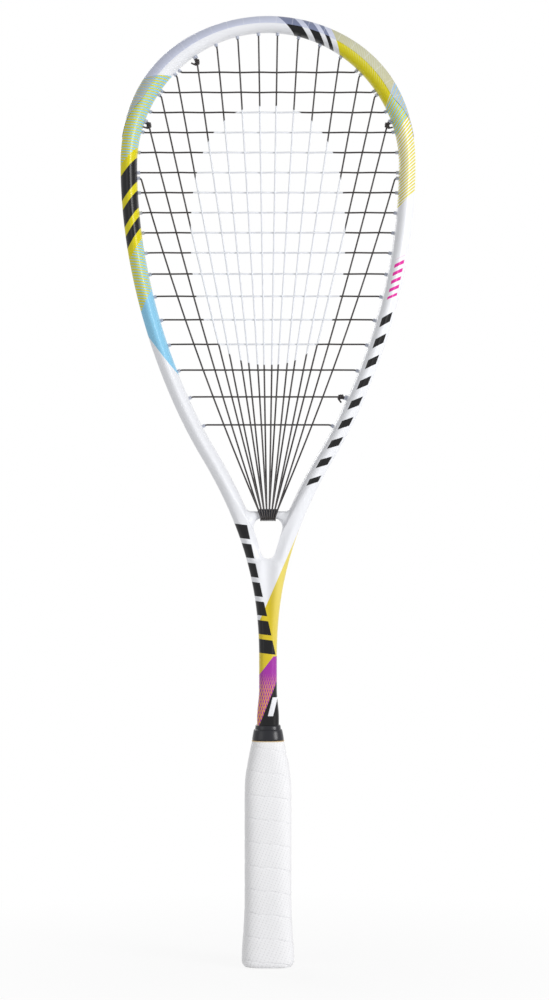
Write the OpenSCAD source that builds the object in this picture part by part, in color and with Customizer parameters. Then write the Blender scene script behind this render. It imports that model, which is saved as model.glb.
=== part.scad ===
// Squash racket with a long fanned string bed.
// The racket stands on its butt: X runs across the head, Y from the front to the back, Z up to the crown.
// The origin is the centre of the butt end, and the strings are woven about the plane Y = 0.

/* [Racket] */
// Length of the racket from the butt to the crown
racket_len = 686; // [660:1:700]

/* [Hoop] */
// Width of the head across the outside of the hoop
head_w = 213; // [206:1:220]
// Depth of the hoop from front to back
beam_d = 19; // [17:0.5:22]
// Drop from the crown to the widest part of the head
widest_drop = 106.5; // [102:0.5:112]
// Width of the beam at the crown
crown_beam = 11.5; // [10.5:0.1:13]
// Width of the beam at the widest part of the head
side_beam = 11.9; // [10.5:0.1:13]

/* [Throat and shaft] */
// Drop from the crown to the straight stretch of the arms
arm_drop = 318; // [314:1:322]
// Distance from the middle plane to the outside of an arm there
arm_spread = 48.4; // [46:0.2:51]
// Lean of the arms there, measured from upright
arm_lean = 31; // [29:0.5:33]
// Width of an arm there
arm_beam = 11.5; // [10.5:0.1:12.5]
// Drop from the crown to the foot of the throat opening
throat_drop = 392; // [388:1:396]
// Drop from the crown to the waist, the slimmest part of the shaft
waist_drop = 464; // [455:1:470]
// Width of the shaft at the waist
waist_w = 12.8; // [11.6:0.2:14.6]
// Depth of the shaft at the waist
shaft_d = 17; // [15.5:0.5:18]
// Width of the tang, the end of the shaft inside the handle
tang_w = 15.8; // [15:0.2:16.6]
// Depth of the tang
tang_d = 15; // [14:0.2:15.6]

/* [Throat bridge] */
// Drop from the crown to the top of the bridge
bridge_drop = 356.8; // [355:0.2:359]
// Height of the bridge
bridge_h = 5.8; // [5:0.2:7]
// Depth of the bridge from front to back
bridge_d = 9; // [7:0.5:10]
// Radius of the corners that the bridge forms with the arms
bridge_fillet = 4.2; // [3:0.2:5]
// Width of the grooved string pad on the bridge
pad_w = 14.8; // [14.6:0.1:15]
// Thickness of the string pad
pad_t = 1.3; // [1.1:0.1:1.6]
// Depth of the pad's string grooves
pad_groove = 0.5; // [0.3:0.1:0.7]

/* [Bumper and grommets] */
// Width of the string channel round the outside of the hoop
channel_w = 7.2; // [6.6:0.2:8]
// Depth of the string channel
channel_d = 3; // [2.8:0.1:3.3]
// Length along the inside of the hoop from the crown to the end of the bumper
bumper_reach = 131; // [129:0.5:134]
// Length of the channel below the last cross string, along the inside of the hoop
channel_tail = 3.6; // [3:0.2:7]
// Thickness of the bumper and of the grommet strips
strip_t = 1; // [0.8:0.1:1.1]
// Outside diameter of a grommet barrel
barrel_d = 2.8; // [2.6:0.1:3]
// Bore of a grommet barrel
barrel_bore = 1.8; // [1.7:0.1:2]
// Outside diameter of a tie-off barrel, which takes two strings
tie_barrel_d = 4; // [3.8:0.1:4.2]
// Bore of a tie-off barrel
tie_bore = 3; // [2.9:0.1:3.2]
// Length of barrel that stands out on the inside of the hoop
barrel_out = 3; // [2:0.2:4]

/* [Strings] */
// Diameter of the string
string_d = 1.25; // [1.1:0.05:1.35]
// Gap between a main and a cross where they pass
crossing_gap = 0.35; // [0.2:0.05:0.6]
// Drop from the crown to the first cross string
cross_drop = 40.1; // [39:0.1:41]
// Spacing of the upper cross strings
cross_pitch = 14.5; // [14.3:0.1:14.7]
// Growth of each spacing between the lower cross strings
cross_growth = 0.82; // [0.7:0.02:0.9]
// Outward bow of the outermost main strings
main_bow = 4.2; // [0:0.2:6]
// Spacing of the string loops on the throat bridge
loop_pitch = 1.85; // [1.8:0.05:1.95]

/* [Handle] */
// Width of the grip
grip_w = 33.8; // [32:0.2:36]
// Depth of the grip
grip_d = 29; // [27:0.2:31]
// Length of the grip from the butt to its top
grip_len = 163; // [150:1:170]
// Length of the taper at the top of the grip
grip_taper = 32; // [26:1:40]
// Width of the grip at its top
grip_top_w = 23.8; // [23:0.2:26]
// Depth of the grip at its top
grip_top_d = 22.8; // [22.4:0.2:25]
// Widening of the grip at the butt, on each side
butt_flare = 2.1; // [1:0.1:3]
// Height of the flare at the butt
flare_h = 42; // [36:1:48]
// Thickness of the grip tape
tape_t = 1.8; // [1.4:0.1:2]
// Rise of the grip tape in one turn
tape_pitch = 17; // [15:0.5:20]
// Gap between the turns of the grip tape
tape_seam = 0.5; // [0.45:0.05:1]
// Wall of the butt cap
cap_wall = 1.6; // [1.4:0.1:2]
// Height of the rim of the butt cap below the grip tape
cap_rim = 6; // [5:0.2:8]
// Height of the collar above the grip
collar_h = 11; // [9:0.5:13]
// Width of the collar at its foot
collar_w = 23; // [21.6:0.2:24]

/* [Hidden] */
$fn = 32;

// Clearances between pieces that seat on each other
seat_gap = 0.1;
fit_gap = 0.2;
soft_gap = 0.3;

// Reaches of the curve handles that shape the outside of the frame
crown_reach = 42.4;
shoulder_reach = 81;
side_reach = 89;
arm_reach_up = 49;
arm_reach_down = 67.6;
waist_reach = 43.4;
// Reaches of the curve handles that shape the inside of the frame
crown_reach_in = 53;
shoulder_reach_in = 49;
side_reach_in = 106;
arm_reach_up_in = 21.7;
arm_reach_down_in = 74.2;
throat_reach = 9.9;

// Drilling plan of the main strings: lengths along the inside of the hoop, from the crown outward
main_arcs = [7, 22.5, 39, 56.5, 76, 95, 117, 158.7];
half_mains = len(main_arcs);
mains = 2 * half_mains;
crosses = 17;
even_crosses = 10;
// Mains whose barrels also hold a tied-off end of the same string
tie_mains = [2, mains - 1];
// The main whose barrel also holds the start of the cross string
start_main = 5;
// The cross whose right barrel also holds the end of the cross string
tie_cross = crosses - 1;

string_r = string_d / 2;
weave = (string_d + crossing_gap) / 2;
// Distances from the middle plane that keep strings clear of each other where they share a barrel,
// where the barrels of mains and crosses are staggered, and where strings lie in the channel
tie_lane = string_r + 0.06;
tie_stagger = 0.85;
stagger = 0.6;
channel_lane = 1.15;
string_sides = 5;
// Length of string that runs straight past the mouth of a barrel
mouth_run = 0.8;
mouth_depth = barrel_out + mouth_run;

crown_z = racket_len;
throat_z = crown_z - throat_drop;
waist_z = crown_z - waist_drop;
bridge_top = crown_z - bridge_drop;
bridge_foot = bridge_top - bridge_h;

function mix(a, b, t) = a + (b - a) * t;
function unit(v) = v / norm(v);
function clamp01(t) = max(0, min(1, t));
function ease(t) = t * t * (3 - 2 * t);
function flat(lists) = [for (list = lists) each list];
function reverse(list) = [for (i = [len(list) - 1 : -1 : 0]) list[i]];
function mirror_y(points) = [for (p = reverse(points)) [p[0], -p[1]]];

// Outlines of the frame's right half as [x, z], each a chain of cubic curves from the crown to the foot
function bezier(p, t) =
    pow(1 - t, 3) * p[0] + 3 * pow(1 - t, 2) * t * p[1] + 3 * (1 - t) * t * t * p[2] + pow(t, 3) * p[3];
function outline(curves, s) =
    let (i = min(floor(s), len(curves) - 1))
    bezier(curves[i], s - i);

arm_dir = [-sin(arm_lean), -cos(arm_lean)];
crown_out = [0, crown_z];
crown_in = crown_out - [0, crown_beam];
side_out = [head_w / 2, crown_z - widest_drop];
side_in = side_out - [side_beam, 0];
arm_out = [arm_spread, crown_z - arm_drop];
arm_in = arm_out + arm_beam * [arm_dir[1], -arm_dir[0]];
waist = [waist_w / 2, waist_z];
throat = [0, throat_z];

outer_curves = [
    [crown_out, crown_out + [crown_reach, 0], side_out + [0, shoulder_reach], side_out],
    [side_out, side_out - [0, side_reach], arm_out - arm_reach_up * arm_dir, arm_out],
    [arm_out, arm_out + arm_reach_down * arm_dir, waist + [0, waist_reach], waist]
];
inner_curves = [
    [crown_in, crown_in + [crown_reach_in, 0], side_in + [0, shoulder_reach_in], side_in],
    [side_in, side_in - [0, side_reach_in], arm_in - arm_reach_up_in * arm_dir, arm_in],
    [arm_in, arm_in + arm_reach_down_in * arm_dir, throat + [throat_reach, 0], throat]
];

// Stations: 0 is the crown, 1 the widest part, 2 the arms, 3 the waist. A negative one is on the left.
table_steps = 48;
function table_station(i) = i / table_steps;
function hoop_out(s) = outline(outer_curves, s);

// Each station of the outside is matched to the point of the inside that lies square across the beam
halvings = 24;
station_step = 0.001;
function run_dir(s) = unit(hoop_out(s + station_step) - hoop_out(max(0, s - station_step)));
function ahead(s, p) = (p - hoop_out(s)) * run_dir(s);
function square_across(s, low, high, n) =
    let (m = (low + high) / 2)
    n == 0 ? m
    : ahead(s, outline(inner_curves, m)) < 0 ? square_across(s, m, high, n - 1)
    : square_across(s, low, m, n - 1);
function beside_throat(low, high, n) =
    let (s = (low + high) / 2)
    n == 0 ? s
    : ahead(s, throat) > 0 ? beside_throat(s, high, n - 1)
    : beside_throat(low, s, n - 1);
throat_station = beside_throat(2, 3, halvings);
match_table = concat([[0, 0]],
    [for (i = [1 : 3 * table_steps]) let (s = table_station(i)) if (s < throat_station)
        [s, square_across(s, max(0, s - 1), min(3, s + 1), halvings)]],
    [[throat_station, 3]]);
function hoop_in(s) =
    s < throat_station ? outline(inner_curves, lookup(s, match_table))
    : s == throat_station ? throat
    : [0, hoop_out(s)[1]];
function beam(s) = norm(hoop_out(s) - hoop_in(s));

// A point u along the beam from its inside, at depth y
function place(station, u, y) =
    let (s = abs(station), from = hoop_in(s), along = unit(hoop_out(s) - from), p = from + along * u)
    [station < 0 ? -p[0] : p[0], y, p[1]];

hoop_steps = 2 * table_steps;
arc_table = [for (i = 0, arc = 0; i <= hoop_steps;
    arc = arc + norm(hoop_in(table_station(i + 1)) - hoop_in(table_station(i))), i = i + 1)
    [arc, table_station(i)]];
function station_at(arc) = lookup(arc, arc_table);
function arc_at(station) = lookup(station, [for (row = arc_table) reverse(row)]);
mouth_table = [for (i = [0 : hoop_steps])
    [place(table_station(i), -mouth_depth, 0)[2], table_station(i)]];
bumper_end = station_at(bumper_reach);
strip_start = station_at(bumper_reach + soft_gap);
channel_reach = arc_at(cross_station(crosses)) + channel_tail;
channel_end = station_at(channel_reach);
channel_fade = station_at(channel_reach + 2 * channel_d);

// Section of the frame as shares of the beam's width and of its half depth, from outside to inside:
// the hoop has a crest along the middle of its faces, and the shaft has it on the middle plane
hoop_profile = [[0.97, 0.52], [0.8, 0.8], [0.5, 1], [0.2, 0.78], [0.05, 0.42]];
shaft_profile = [[0.9, 0.66], [0.56, 0.94], [0, 1], [0, 0.78], [0, 0.42]];
plain_edge = [[1, 0.12], [1, 0.34]];
channel_draft = 0.2;
lip_recess = strip_t + fit_gap;
// Height above the bridge at which the arms start to close up into the shaft
merge_rise = 22;

function merge_share(s) = ease(clamp01((bridge_top + merge_rise - hoop_in(s)[1])
    / (bridge_top + merge_rise - throat_z)));
function channel_share(s) = clamp01((channel_fade - s) / (channel_fade - channel_end));
function depth_at(s) = mix(beam_d, shaft_d, ease(clamp01(s - 2)));
function toward_core(p, w, by) = p - by * unit(p - [w / 2, 0]);

// Half section on the front, as [u, y] from the channel round to the inside
function half_section(s) =
    let (w = beam(s), h = depth_at(s) / 2, m = merge_share(s), c = channel_share(s))
    let (covered = s <= bumper_end)
    let (round = [for (i = [0 : 4])
        let (p = mix(hoop_profile[i], shaft_profile[i], m), q = [p[0] * w, p[1] * h])
        covered && i < 2 ? toward_core(q, w, strip_t + seat_gap) : q])
    let (lip = [w - (covered ? lip_recess : 0), channel_w / 2])
    let (bed = [w - channel_d, channel_w / 2 - channel_draft])
    let (edge = [mix([w, plain_edge[0][1] * h], bed, c), mix([w, plain_edge[1][1] * h], lip, c)])
    [for (p = concat(edge, round)) [p[0], -p[1]]];
function full_section(half) = concat(half, [[0, 0]], mirror_y(half));
section_points = 15;
crest_front = 4;
crest_back = 10;

function hoop_ring(station, section) = [for (p = section) place(station, p[0], p[1])];
function span(a, b, n) = [for (i = [0 : n]) mix(a, b, i / n)];

bumper_steps = 15;
strip_steps = 20;
arm_steps = 3;
throat_steps = 11;
waist_steps = 8;
bumper_stations = span(0, bumper_end, bumper_steps);
strip_stations = span(strip_start, channel_end, strip_steps);
frame_stations = concat(bumper_stations, strip_stations, span(channel_fade, 2, arm_steps),
    [for (s = span(2, throat_station, throat_steps)) if (s > 2) s],
    [for (s = span(throat_station, 3, waist_steps)) if (s > throat_station) s]);
throat_ring = len(frame_stations) - 1 - waist_steps;

// The tang: straight from above the collar down into the handle
tang_rise = 5;
tang_top = grip_len + collar_h + tang_rise;
tang_taper = 21;
tang_foot = cap_rim;
function shaft_half_section(w, h) =
    [for (p = concat(plain_edge, shaft_profile)) [p[0] * w, -p[1] * h]];
function shaft_ring(w, h, z) = [for (p = full_section(shaft_half_section(w, h))) [p[0], p[1], z]];
tang_rings = [
    shaft_ring(waist_w / 2, shaft_d / 2, tang_top + tang_taper),
    shaft_ring(tang_w / 2, tang_d / 2, tang_top),
    shaft_ring(tang_w / 2, tang_d / 2, tang_foot)
];
function tang_outline(gap) =
    let (half = shaft_half_section(tang_w / 2 + gap, tang_d / 2 + gap))
    let (right = concat([for (i = [crest_front : -1 : 0]) half[i]],
        [for (i = [0 : crest_front]) [half[i][0], -half[i][1]]]))
    concat(right, [for (p = reverse(right)) if (p[0] > 0) [-p[0], p[1]]]);

// Faces of a skin over rings that run counter-clockwise about the direction of travel
function quad(a, b, c, d, flip) = flip ? [[a, c, d], [a, b, c]] : [[a, d, c], [a, c, b]];
function skin(rings, points, closed) = flat([for (i = [0 : rings - (closed ? 1 : 2)], j = [0 : points - 1])
    let (k = (j + 1) % points, n = (i + 1) % rings)
    quad(i * points + j, i * points + k, n * points + k, n * points + j, false)]);
function fan_cap(first, points, flip) = [for (j = [1 : points - 2])
    flip ? [first, first + j + 1, first + j] : [first, first + j, first + j + 1]];

module sweep(rings) {
    n = len(rings[0]);
    polyhedron(flat(rings), concat(skin(len(rings), n, false), fan_cap(0, n, false),
        fan_cap((len(rings) - 1) * n, n, true)));
}

// The frame is one skin: two mirrored halves that share the crown and, below the throat, the middle plane
module frame_body() {
    rings = concat([for (s = frame_stations) hoop_ring(s, full_section(half_section(s)))], tang_rings);
    count = len(rings);
    n = section_points;
    right = flat(rings);
    left = [for (p = right) [-p[0], p[1], p[2]]];
    foot = [0, 0, tang_foot];
    function shared(i, j) = i == 0 || (i >= throat_ring && j >= crest_front && j <= crest_back);
    function id(h, i, j) = (shared(i, j) ? 0 : h * count * n) + i * n + j;
    function inside(i, j) = i >= throat_ring && j >= crest_front && j < crest_back;
    sides = flat([for (h = [0, 1], i = [0 : count - 2], j = [0 : n - 1]) if (!inside(i, j))
        let (k = (j + 1) % n)
        quad(id(h, i, j), id(h, i, k), id(h, i + 1, k), id(h, i + 1, j), h == 1)]);
    last = count - 1;
    sole = [for (h = [0, 1], j = [0 : n - 1]) if (!inside(last, j))
        let (k = (j + 1) % n, a = id(h, last, j), b = id(h, last, k))
        h == 0 ? [2 * count * n, b, a] : [2 * count * n, a, b]];
    polyhedron(concat(right, left, [foot]), concat(sides, sole));
}

// Drilling: where each string passes the hoop
function main_station(k) =
    k <= half_mains ? -station_at(main_arcs[half_mains - k]) : station_at(main_arcs[k - half_mains - 1]);
function extra_gaps(c) = max(0, c - even_crosses);
function cross_z(c) =
    crown_z - cross_drop - (c - 1) * cross_pitch - cross_growth * extra_gaps(c) * (extra_gaps(c) + 1) / 2;
function cross_station(c) = lookup(cross_z(c), mouth_table);
function is_tie_main(k) = k == start_main || len(search(k, tie_mains)) > 0;
function is_tie_end(c, side) = c == tie_cross && side > 0;
function main_hole_y(k) = k == start_main ? 0 : is_tie_main(k) ? -tie_stagger : -stagger;
function cross_hole_y(c, side) = is_tie_end(c, side) ? 0 : stagger;

// Each hole as [station, distance from the middle plane, outside of its barrel, bore of its barrel]
function drill(station, y, tie) = [station, y, tie ? tie_barrel_d : barrel_d, tie ? tie_bore : barrel_bore];
drill_holes = concat(
    [for (k = [1 : mains]) drill(main_station(k), main_hole_y(k), is_tie_main(k))],
    [for (c = [1 : crosses], side = [-1, 1])
        drill(side * cross_station(c), cross_hole_y(c, side), is_tie_end(c, side))]);

module through_beam(hole, from, to, d) {
    p = place(hole[0], from, hole[1]);
    q = place(hole[0], to, hole[1]);
    translate(p) rotate([0, atan2(q[0] - p[0], q[2] - p[2]), 0]) cylinder(d = d, h = norm(q - p));
}

module frame() {
    color("whitesmoke") difference() {
        frame_body();
        for (hole = drill_holes)
            through_beam(hole, -barrel_out, beam(abs(hole[0])) + 1, hole[2] + 2 * fit_gap);
    }
}

// Barrels of the holes that one strip covers, with the string bores cut through strip and barrels
module grommets(holes) {
    difference() {
        union() {
            children();
            for (hole = holes)
                through_beam(hole, -barrel_out, strip_level(abs(hole[0])) - strip_t / 2, hole[2]);
        }
        for (hole = holes)
            through_beam(hole, -barrel_out - 1, beam(abs(hole[0])) + 1, hole[3]);
    }
}

// Height along the beam of the strip's outer face in the channel, and of a string that lies on it
function strip_level(s) = beam(s) - channel_d + seat_gap + strip_t;
function string_level(s) = strip_level(s) + fit_gap + string_r;

// The bumper is a thin shell over the outer half of the beam, feathered out on both faces
bumper_edge = 0.35;
bumper_lip_in = 0.25;
function loop_over(half) = concat(half, mirror_y(half));
function bumper_section(s) =
    let (w = beam(s), h = depth_at(s) / 2, wall = channel_w / 2 - fit_gap, level = strip_level(s))
    let (face = [for (i = [2, 1, 0]) [hoop_profile[i][0] * w, hoop_profile[i][1] * h]])
    let (edge = mix(face[0], face[1], bumper_edge))
    let (outer = [edge, face[1], face[2], [w, wall], [w - bumper_lip_in, wall - strip_t],
        [level, wall - strip_t - channel_draft]])
    let (inner = [toward_core(edge, w, bumper_edge * strip_t), toward_core(face[1], w, strip_t),
        toward_core(face[2], w, strip_t), [w - strip_t, wall], [level, wall],
        [level - strip_t, wall - channel_draft]])
    concat(loop_over(outer), reverse(loop_over(inner)));
function shell_cap(first, half, flip) = flat([for (j = [0 : half - 2])
    quad(first + j, first + j + 1, first + 2 * half - 2 - j, first + 2 * half - 1 - j, flip)]);

module bumper_shell() {
    stations = concat([for (s = reverse(bumper_stations)) -s], [for (s = bumper_stations) if (s > 0) s]);
    rings = [for (s = stations) hoop_ring(s, bumper_section(abs(s)))];
    n = len(rings[0]);
    polyhedron(flat(rings), concat(skin(len(rings), n, false), shell_cap(0, n / 2, true),
        shell_cap((len(rings) - 1) * n, n / 2, false)));
}

module bumper_guard() {
    color([0.78, 0.8, 0.86]) grommets([for (hole = drill_holes) if (abs(hole[0]) < bumper_end) hole])
        bumper_shell();
}

// A side strip lies on the floor of the channel from the bumper down the arm
module grommet_strip(side) {
    wall = channel_w / 2 - channel_draft - fit_gap;
    stations = side < 0 ? [for (s = reverse(strip_stations)) -s] : strip_stations;
    rings = [for (s = stations)
        let (top = strip_level(abs(s)), foot = top - strip_t)
        hoop_ring(s, [[top, -wall], [foot, -wall], [foot, wall], [top, wall]])];
    grommets([for (hole = drill_holes) if (hole[0] * side > bumper_end) hole]) sweep(rings);
}

module grommet_strip_left() {
    color([0.8, 0.8, 0.86]) grommet_strip(-1);
}

module grommet_strip_right() {
    color([0.8, 0.8, 0.86]) grommet_strip(1);
}

// The bridge closes the throat: the space between the arms, less the rounded string bed and throat opening
bridge_margin = 14;
function arm_inside(z_top, z_foot, gap) = [for (s = span(2, throat_station, 4 * throat_steps))
    let (p = hoop_in(s)) if (p[1] <= z_top && p[1] >= z_foot) [p[0] - gap, p[1]]];
function between_arms(z_top, z_foot, gap) =
    let (right = arm_inside(z_top, z_foot, gap))
    concat(right, [for (p = reverse(right)) [-p[0], p[1]]]);

module throat_bridge() {
    color("whitesmoke") rotate([90, 0, 0]) linear_extrude(bridge_d, center = true) difference() {
        polygon(between_arms(bridge_top + bridge_margin, bridge_foot - bridge_margin, soft_gap));
        rounded(bridge_fillet) intersection() {
            polygon(between_arms(bridge_top + 4 * bridge_margin, bridge_foot, -soft_gap));
            translate([-head_w, bridge_top]) square([2 * head_w, 4 * bridge_margin]);
        }
        rounded(bridge_fillet) intersection() {
            polygon(between_arms(bridge_top, throat_z, -soft_gap));
            translate([-head_w, 0]) square([2 * head_w, bridge_foot]);
        }
    }
}

module rounded(r) {
    offset(r = r) offset(delta = -r) children();
}

// A saddle on the bridge, hung over its lower edge, with a groove for each string loop
loops = half_mains;
pad_corner = 2;
pad_top = bridge_top + pad_t;
pad_groove_w = string_d + 2 * seat_gap;

module saddle(thickness) {
    half = bridge_d / 2 + thickness;
    foot = bridge_foot - thickness;
    difference() {
        union() {
            translate([-half, foot + pad_corner]) square([2 * half, pad_top - foot - pad_corner]);
            translate([-half + pad_corner, foot]) square([2 * (half - pad_corner), pad_corner]);
            for (y = [-1, 1]) translate([y * (half - pad_corner), foot + pad_corner]) circle(pad_corner);
        }
        translate([-bridge_d / 2 - seat_gap, bridge_foot - seat_gap])
            square([bridge_d + 2 * seat_gap, racket_len]);
    }
}

module saddle_slice(x, width) {
    translate([x - width / 2, 0, 0]) rotate([90, 0, 90]) linear_extrude(width) children();
}

function loop_x(p) = (p - (loops + 1) / 2) * loop_pitch;

module bridge_pad() {
    color([0.15, 0.15, 0.16]) difference() {
        saddle_slice(0, pad_w) saddle(pad_t);
        for (p = [1 : loops]) saddle_slice(loop_x(p), pad_groove_w) difference() {
            translate([-racket_len / 2, 0]) square(racket_len);
            saddle(pad_t - pad_groove);
            translate([-bridge_d / 2 - pad_groove, bridge_foot])
                square([bridge_d + 2 * pad_groove, racket_len]);
        }
    }
}

// Tube swept along a path, with its sides carried along without twist
function tangents(path) = [for (i = [0 : len(path) - 1])
    i == 0 ? unit(path[1] - path[0])
    : i == len(path) - 1 ? unit(path[i] - path[i - 1])
    : unit(unit(path[i] - path[i - 1]) + unit(path[i + 1] - path[i]))];
function carried(start, along) = [for (i = 0, n = start; i < len(along);
    i = i + 1, n = i < len(along) ? unit(n - (n * along[i]) * along[i]) : n) n];
function tube_rings(path, r, sides) =
    let (along = tangents(path), helper = abs(along[0][1]) < 0.9 ? [0, 1, 0] : [1, 0, 0])
    let (side = carried(unit(cross(along[0], helper)), along))
    [for (i = [0 : len(path) - 1]) let (up = cross(along[i], side[i])) [for (j = [0 : sides - 1])
        path[i] + r * (cos(360 * j / sides) * side[i] + sin(360 * j / sides) * up)]];

// Stretch of string in the channel between two holes, in steps short enough to follow the hoop
channel_step = 8;
function channel_run(a, b, lane) =
    let (p = place(a, 0, 0), q = place(b, 0, 0), n = ceil(norm(q - p) / channel_step))
    [for (i = [1 : 1 : n - 1]) let (s = mix(a, b, i / n)) place(s, string_level(abs(s)), lane)];
function hole_top(station, lane) = place(station, string_level(abs(station)), lane);

// A string end wound round the string that it is tied to, and its free tail
knot_turns = 1;
knot_steps = 8;
knot_pitch = string_d + 0.5;
knot_r = string_d + 0.45;
knot_start = 2.5;
tail_len = 4;
function knot(at, along, sense) =
    let (out = [0, sense, 0], across = cross(along, out), n = knot_turns * knot_steps)
    let (coil = [for (i = [0 : n])
        let (a = 360 * i / knot_steps)
        at + along * (knot_start + knot_pitch * i / knot_steps) + knot_r * (cos(a) * out + sin(a) * across)])
    let (a = 360 * knot_turns)
    concat(coil, [coil[n] + tail_len * (cos(a + 30) * out + sin(a + 30) * across)]);

// The mains hang fanned from the hoop to the bridge, bowed outward, and weave through the crosses
function main_lane(k) = main_hole_y(k) - (is_tie_main(k) ? tie_lane : 0);
function tied_lane(k) = main_hole_y(k) + tie_lane;
function main_top(k) = place(main_station(k), -mouth_depth, main_lane(k));
function main_foot_x(k) = loop_x(ceil(k / 2));
bow_power = 2.6;
function main_x(k, z) =
    let (top = main_top(k), t = (top[2] - z) / (top[2] - pad_top))
    let (spread = (k - (mains + 1) / 2) / (half_mains - 0.5))
    let (bow = sign(spread) * main_bow * pow(abs(spread), bow_power))
    mix(top[0], main_foot_x(k), t) + bow * 4 * t * (1 - t);
crossing_margin = 5;
function crossed(k, c) = cross_z(c) < main_top(k)[2] - crossing_margin;
function weave_y(k, c) = (k + c) % 2 == 0 ? -weave : weave;
function main_run(k) = concat([main_top(k)],
    [for (c = [1 : crosses]) if (crossed(k, c)) [main_x(k, cross_z(c)), weave_y(k, c), cross_z(c)]]);

loop_y = bridge_d / 2 + pad_t - pad_groove + seat_gap + string_r;
loop_foot = bridge_foot - pad_t + pad_groove - seat_gap - string_r;
loop_corner = pad_corner;
loop_bend = [0, 45, 90];
function bridge_loop(p) =
    let (down = concat([[-loop_y, pad_top]], [for (a = loop_bend)
        [-loop_y + loop_corner * (1 - cos(a)), loop_foot + loop_corner * (1 - sin(a))]]))
    let (up = [for (q = reverse(down)) [-q[0], q[1]]])
    [for (q = concat(down, up)) [loop_x(p), q[0], q[1]]];

function toward(a, b) = unit(b - a);
function tied_end(station, lane, run, sense) =
    concat([place(station, -mouth_depth, lane)], knot(run[0], toward(run[0], run[1]), sense));

function main_path() =
    let (first = main_station(1), second = main_station(2))
    let (last = main_station(mains), before = main_station(mains - 1))
    let (lane = tied_lane(tie_mains[0]))
    let (start = reverse(tied_end(second, lane, main_run(2), 1)))
    let (end = tied_end(before, lane, main_run(mains - 1), 1))
    let (pairs = flat([for (p = [1 : loops])
        let (a = 2 * p - 1, b = 2 * p, here = main_station(b), next = main_station(min(b + 1, mains)))
        concat(main_run(a), bridge_loop(p), reverse(main_run(b)), p == loops ? [] : concat(
            [hole_top(here, main_lane(b))], channel_run(here, next, -channel_lane),
            [hole_top(next, main_lane(b + 1))]))]))
    concat(start, [hole_top(second, lane)], channel_run(second, first, -channel_lane),
        [hole_top(first, main_lane(1))], pairs, [hole_top(last, main_lane(mains))],
        channel_run(last, before, -channel_lane), [hole_top(before, lane)], end);

module main_string() {
    color([0.2, 0.19, 0.19]) sweep(tube_rings(main_path(), string_r, string_sides));
}

// The crosses run to and fro down the bed
function cross_lane(c, side) = cross_hole_y(c, side) + (is_tie_end(c, side) ? tie_lane : 0);
function cross_mouth(c, side) = place(side * cross_station(c), -mouth_depth, cross_lane(c, side));
function cross_run(c) = concat([cross_mouth(c, -1)],
    [for (k = [1 : mains]) if (crossed(k, c)) [main_x(k, cross_z(c)), -weave_y(k, c), cross_z(c)]],
    [cross_mouth(c, 1)]);

function cross_path() =
    let (from = main_station(start_main), lane = tied_lane(start_main))
    let (start = reverse(tied_end(from, lane, main_run(start_main), 1)))
    let (here = cross_station(tie_cross), last = cross_station(crosses))
    let (end = tied_end(here, -tie_lane, reverse(cross_run(tie_cross)), -1))
    let (rows = flat([for (c = [1 : crosses])
        let (side = c % 2 == 1 ? 1 : -1, here = side * cross_station(c), next = side * cross_station(c + 1))
        concat(side > 0 ? cross_run(c) : reverse(cross_run(c)), c == crosses ? [] : concat(
            [hole_top(here, cross_lane(c, side))], channel_run(here, next, channel_lane),
            [hole_top(next, cross_lane(c + 1, side))]))]))
    concat(start, [hole_top(from, lane)], channel_run(from, -cross_station(1), channel_lane),
        [hole_top(-cross_station(1), cross_lane(1, -1))], rows, [hole_top(last, cross_lane(crosses, 1))],
        channel_run(last, here, channel_lane), [hole_top(here, -tie_lane)], end);

module cross_string() {
    color([0.2, 0.19, 0.19]) sweep(tube_rings(cross_path(), string_r, string_sides));
}

// The handle: a bevelled rectangle that tapers to the shaft and flares to the butt
bevel = 0.35;
corner_trim = 0.12;
bulge_z = 11;
bulge_fall = 11.5;
bulge_top = bulge_z + bulge_fall;
// The upper taper starts gently: a share of its narrowing over a share of its length
taper_break = [0.32, 0.2];
taper_foot = grip_len - grip_taper;
taper_knee = taper_foot + grip_taper * taper_break[0];
function grip_half(z, full, top) = lookup(z, [
    [0, full / 2 + butt_flare], [bulge_z, full / 2 + butt_flare], [bulge_top, full / 2 + butt_flare / 2],
    [flare_h, full / 2], [taper_foot, full / 2], [taper_knee, mix(full, top, taper_break[1]) / 2],
    [grip_len, top / 2]]);
// Section of 16 corners, two for each rounded corner of the octagon, counter-clockwise from the right
grip_corners = 16;
function bevelled(w, d) =
    let (a = 1 - bevel)
    let (quarter = [[w, a * d], [a * w, d]])
    let (half = concat(quarter, [for (p = reverse(quarter)) [-p[0], p[1]]]), c = concat(half, -half))
    flat([for (i = [0 : 7])
        [mix(c[i], c[(i + 7) % 8], corner_trim), mix(c[i], c[(i + 1) % 8], corner_trim)]]);
function at_height(points, z) = [for (p = points) [p[0], p[1], z]];
function handle_ring(z, inset) =
    let (w = grip_half(z, grip_w, grip_top_w) - inset, d = grip_half(z, grip_d, grip_top_d) - inset)
    at_height(bevelled(w, d), z);

// Two moulded pallets close round the tang and plug into the butt cap
cap_floor = 3;
function plug_outline(gap) =
    let (wall = tape_t + cap_wall + gap)
    bevelled(grip_w / 2 - wall, grip_d / 2 - wall);
shoulder_z = flare_h + seat_gap;
pallet_rings = [
    at_height(plug_outline(seat_gap), cap_floor),
    at_height(plug_outline(seat_gap), shoulder_z),
    handle_ring(shoulder_z, tape_t),
    handle_ring(taper_foot, tape_t),
    handle_ring(taper_knee, tape_t),
    handle_ring(grip_len, tape_t)
];

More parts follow.
